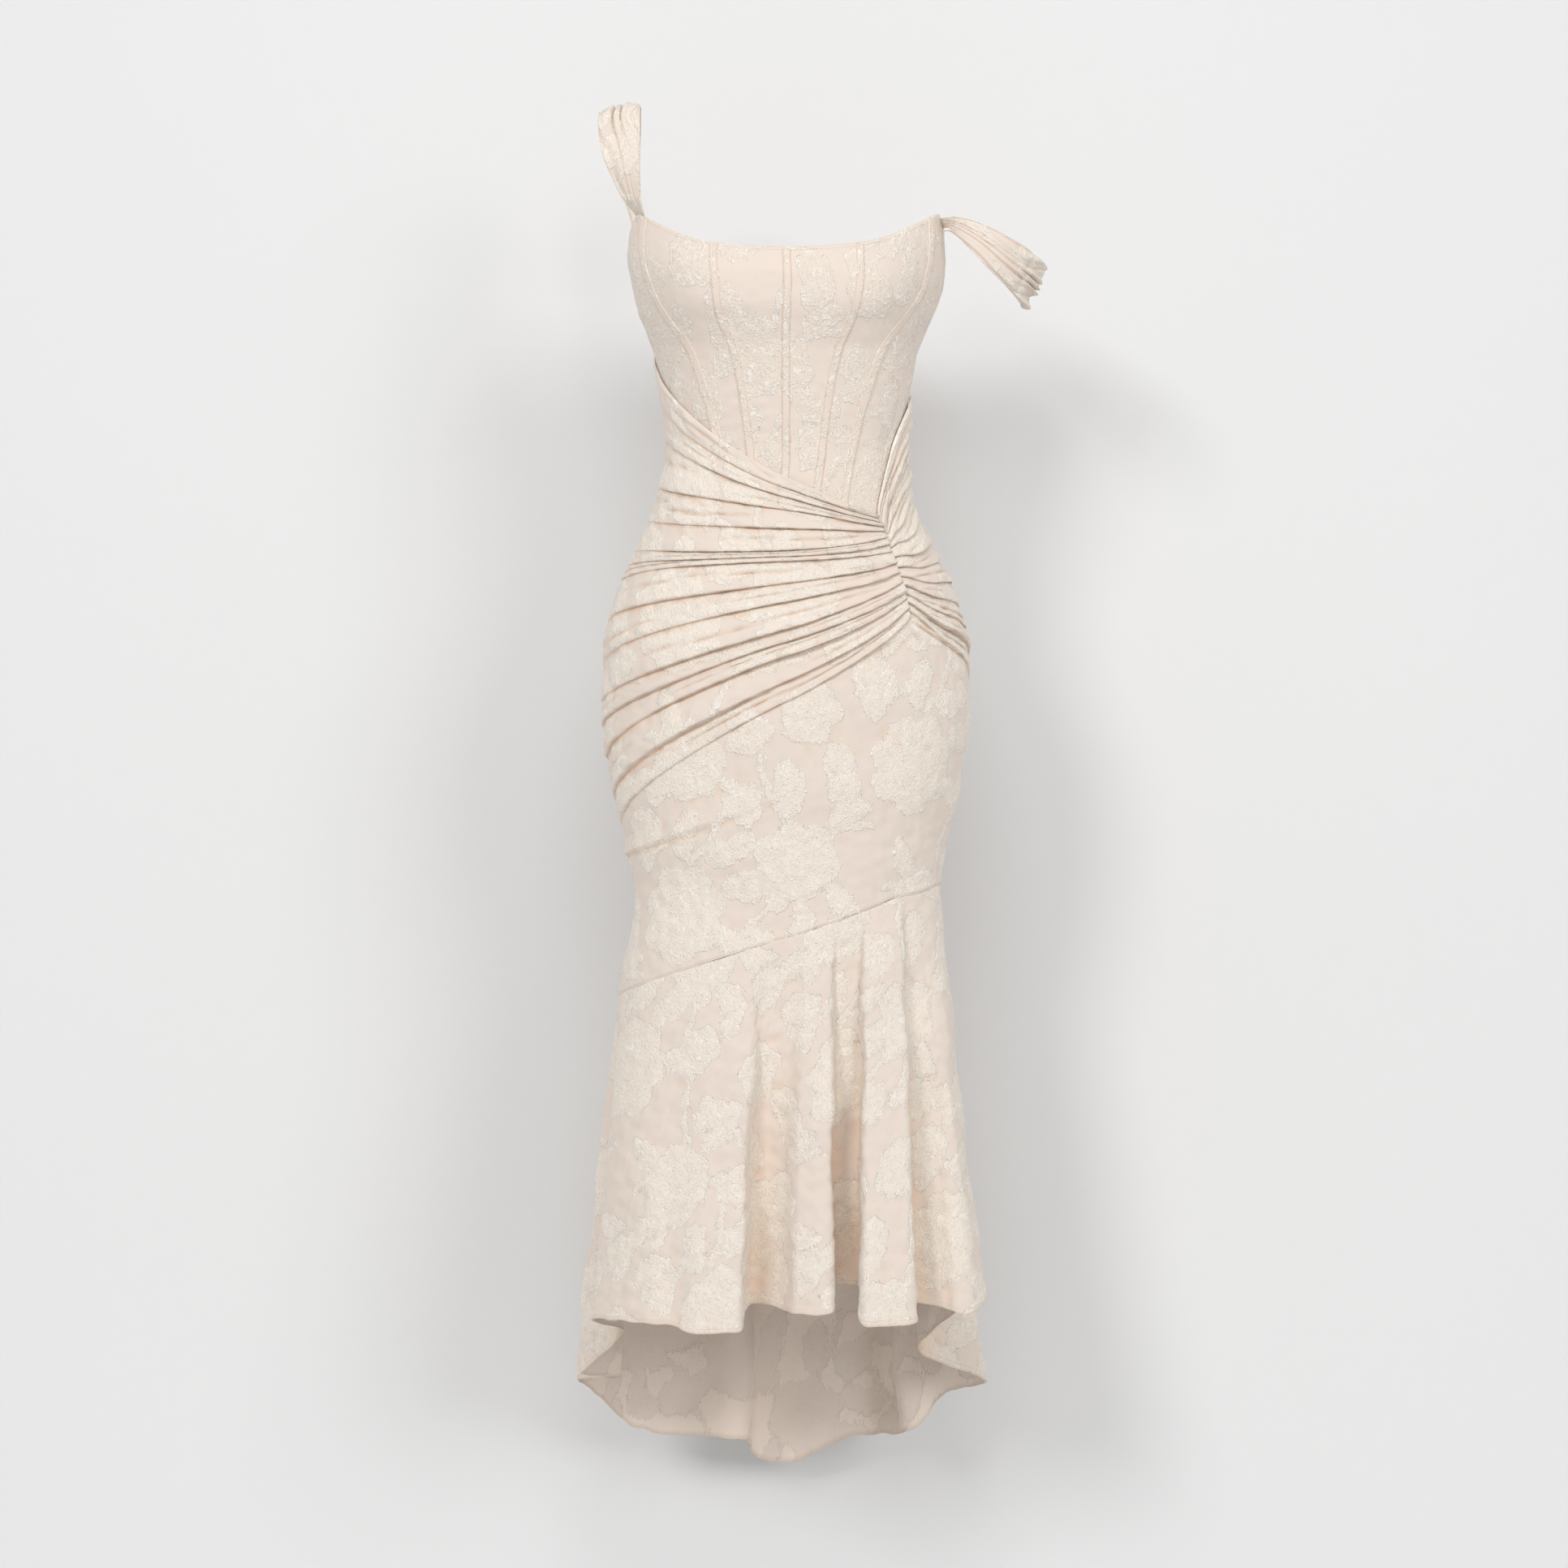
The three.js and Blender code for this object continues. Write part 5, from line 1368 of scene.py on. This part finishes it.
def buildStrap(strap):
    rows = dict(strap["rows"])
    count = len(rows["x"])
    rows["at"] = np.arange(count, dtype=float)
    points = np.stack([rows["x"], rows["y"], rows["z"]], axis=-1)
    along = np.linspace(0, 1, strapGrid["along"] + 1)
    middle = spline(points, along)
    tangent = unit(np.gradient(middle, axis=0))
    take = {n: column(rows, "at", n, along * (count - 1)) for n in ("across", "back", "up", "gather")}
    across = np.stack([take["across"], take["back"], take["up"]], axis=-1)
    face = unit(np.cross(across, tangent))
    half = len(middle) // 2
    core = mix(mix(middle[0], middle[-1], 0.5), middle[half], 0.5)
    sign = 1 if np.dot(face[half], middle[half] - core) > 0 else -1
    side = np.linspace(-1, 1, strapGrid["across"] + 1)
    gather = take["gather"][:, None]
    sway = 0.16 * np.sin(along * 9 + strap["seed"])[:, None] + 0.1 * np.sin(along * 23)[:, None]
    wave = np.pi * strap["waves"] * (side[None, :] + 1 + sway + 0.12 * np.sin(5 * side)[None, :])
    ridge = np.abs(np.cos(wave)) ** 0.8
    second = np.abs(np.cos(wave * 1.73 + 1.4 + 4 * along[:, None]))
    folds = 1.15 * ridge + 0.45 * second - 0.3
    flat = np.clip(np.cos(side * np.pi / 2), 0, 1) ** 0.5
    bend = bell(along - strap["frillAt"], 0.13)[:, None]
    frill = strap["frill"] * bend * np.cos(side * 17 + 2.5 * np.sin(side * 5) + strap["seed"])[None, :]
    line = strap["frill"] * bell(along - strap["frillAt"] + 0.10, 0.012)[:, None]
    deep = 1 + strap["deeper"] * bell(along - 0.5, 0.2)[:, None]
    outerLift = gather * 1.1 * folds * deep + gather * 0.7 * flat[None, :] + frill - 0.8 * line
    innerLift = gather * 0.7 * folds * deep + gather * 0.7 * flat[None, :] + frill - cloth["thick"]

    def grid(lift):
        return (middle[:, None, :] + across[:, None, :] * side[None, :, None]
                + sign * face[:, None, :] * lift[..., None])

    def endRow(end, depth):
        fromDeg, toDeg, fromDrop, toDrop, out, turned = end
        u = (side + 1) / 2
        deg = mix(fromDeg, toDeg, u)
        return onFigure(deg, topHeight(deg) - mix(fromDrop, toDrop, u), out + turned * depth)

    def withEnds(body, depth):
        # The band is led into the row of points at each end over a few rows
        blend = np.linspace(0, 1, strapGrid["endRows"] + 1)[:-1][:, None, None]
        head = mix(endRow(strap["front"], depth)[None], body[:1], blend)
        tail = mix(endRow(strap["back"], depth)[None], body[-1:], blend)[::-1]
        return np.concatenate([head, body, tail])

    outer, behind = withEnds(grid(outerLift), 0), withEnds(grid(innerLift), cloth["thick"])
    steps = np.linalg.norm(np.diff(outer.mean(axis=1), axis=0), axis=-1)
    length = np.concatenate([[0], np.cumsum(steps)])
    s = np.pad(np.cumsum(np.linalg.norm(np.diff(outer, axis=1), axis=-1), axis=1), ((0, 0), (1, 0)))
    s = s - s[:, -1:] / 2
    uv = np.stack([s + strap["cut"][0] + 60, length[:, None] + strap["cut"][1] + 0 * s], axis=-1)
    inside, lines = patternAt(uv * (strapGrid["fullness"], 1))
    away = outwards(outer - outer.mean(axis=(0, 1)), 1)
    fade = smooth(np.minimum(length, length[-1] - length) / strapGrid["fadeOver"])[:, None]
    puff = 0.5 * puffed(uv, inside, strapGrid["pucker"], strap["seed"]) * fade
    outer = outer + away * puff[..., None]
    # Painted shade deep in the folds
    marks = {"inside": inside, "lines": lines, "hollow": hollows(outer, away)}
    makeCloth(strap["node"], outer, behind[::2, ::2], uv, marks, bothFaces)


print("straps")
for strap in straps:
    buildStrap(strap)


stage = {"wallY": 0.262, "floorZ": -1.9, "half": 4.0, "near": -3.0, "paper": (0.80, 0.80, 0.80, 1)}


def stageMaterial(name, oneSided):
    made, tree, shader = newMaterial(name)
    start = Wire(tree, None)
    place = start.join("ShaderNodeTexCoord", {}, output="Object")
    grain = start.join("ShaderNodeTexNoise", {}, {"Vector": place, "Scale": 3.0, "Detail": 2.0})
    tone = grain.blend(tuple(v * 0.99 for v in stage["paper"][:3]) + (1,), stage["paper"])
    tree.links.new(tone.socket, shader.inputs["Base Color"])
    shader.inputs["Roughness"].default_value = 0.95
    shader.inputs["Specular IOR Level"].default_value = 0.0
    if oneSided:
        behind = start.join("ShaderNodeNewGeometry", output="Backfacing")
        clear = start.join("ShaderNodeBsdfTransparent")
        both = start.join("ShaderNodeMixShader", {}, {0: behind, 1: Wire(tree, shader.outputs[0]), 2: clear})
        out = next(n for n in tree.nodes if n.type == "OUTPUT_MATERIAL")
        tree.links.new(both.socket, out.inputs[0])
    return made


def plane(name, corners, material):
    mesh = bpy.data.meshes.new(name)
    mesh.from_pydata(corners, [], [(0, 1, 2, 3)])
    mesh.materials.append(material)
    made = bpy.data.objects.new(name, mesh)
    scene.collection.objects.link(made)
    return made


print("stage and light")
half, wallY, floorZ = stage["half"], stage["wallY"], stage["floorZ"]
plane("backdrop", [(-half, wallY, floorZ), (half, wallY, floorZ), (half, wallY, 3), (-half, wallY, 3)],
      stageMaterial("paperWall", True))
plane("floor", [(-half, stage["near"], floorZ), (half, stage["near"], floorZ), (half, wallY + 3, floorZ),
                (-half, wallY + 3, floorZ)], stageMaterial("paperFloor", False))

light = {
    "keyTurn": (64, 0, -30), "keyPower": 0.88, "keySoft": 16,
    "fillTurn": (72, 0, 38), "fillPower": 0.74, "fillSoft": 26,
    "sky": (1.0, 1.0, 1.0, 1), "skyPower": 0.50,
    "frontAt": (0.0, -1.8, 0.95), "frontTurn": (66, 0, 0), "frontSize": 0.9, "frontPower": 9.0,
}


def turnedBy(degrees):
    return tuple(np.radians(v) for v in degrees)


def sun(name, turn, power, soft):
    data = bpy.data.lights.new(name, "SUN")
    data.energy, data.angle = power, np.radians(soft)
    made = bpy.data.objects.new(name, data)
    made.rotation_euler = turnedBy(turn)
    scene.collection.objects.link(made)


sun("key", light["keyTurn"], light["keyPower"], light["keySoft"])
sun("fill", light["fillTurn"], light["fillPower"], light["fillSoft"])
world = bpy.data.worlds.new("studio")
world.use_nodes = True
world.node_tree.nodes["Background"].inputs[0].default_value = light["sky"]
world.node_tree.nodes["Background"].inputs[1].default_value = light["skyPower"]
scene.world = world
soft = bpy.data.lights.new("front", "AREA")
soft.shape, soft.size, soft.energy = "DISK", light["frontSize"], light["frontPower"]
front = bpy.data.objects.new("front", soft)
front.location, front.rotation_euler = light["frontAt"], turnedBy(light["frontTurn"])
scene.collection.objects.link(front)
scene.view_settings.view_transform = "Standard"
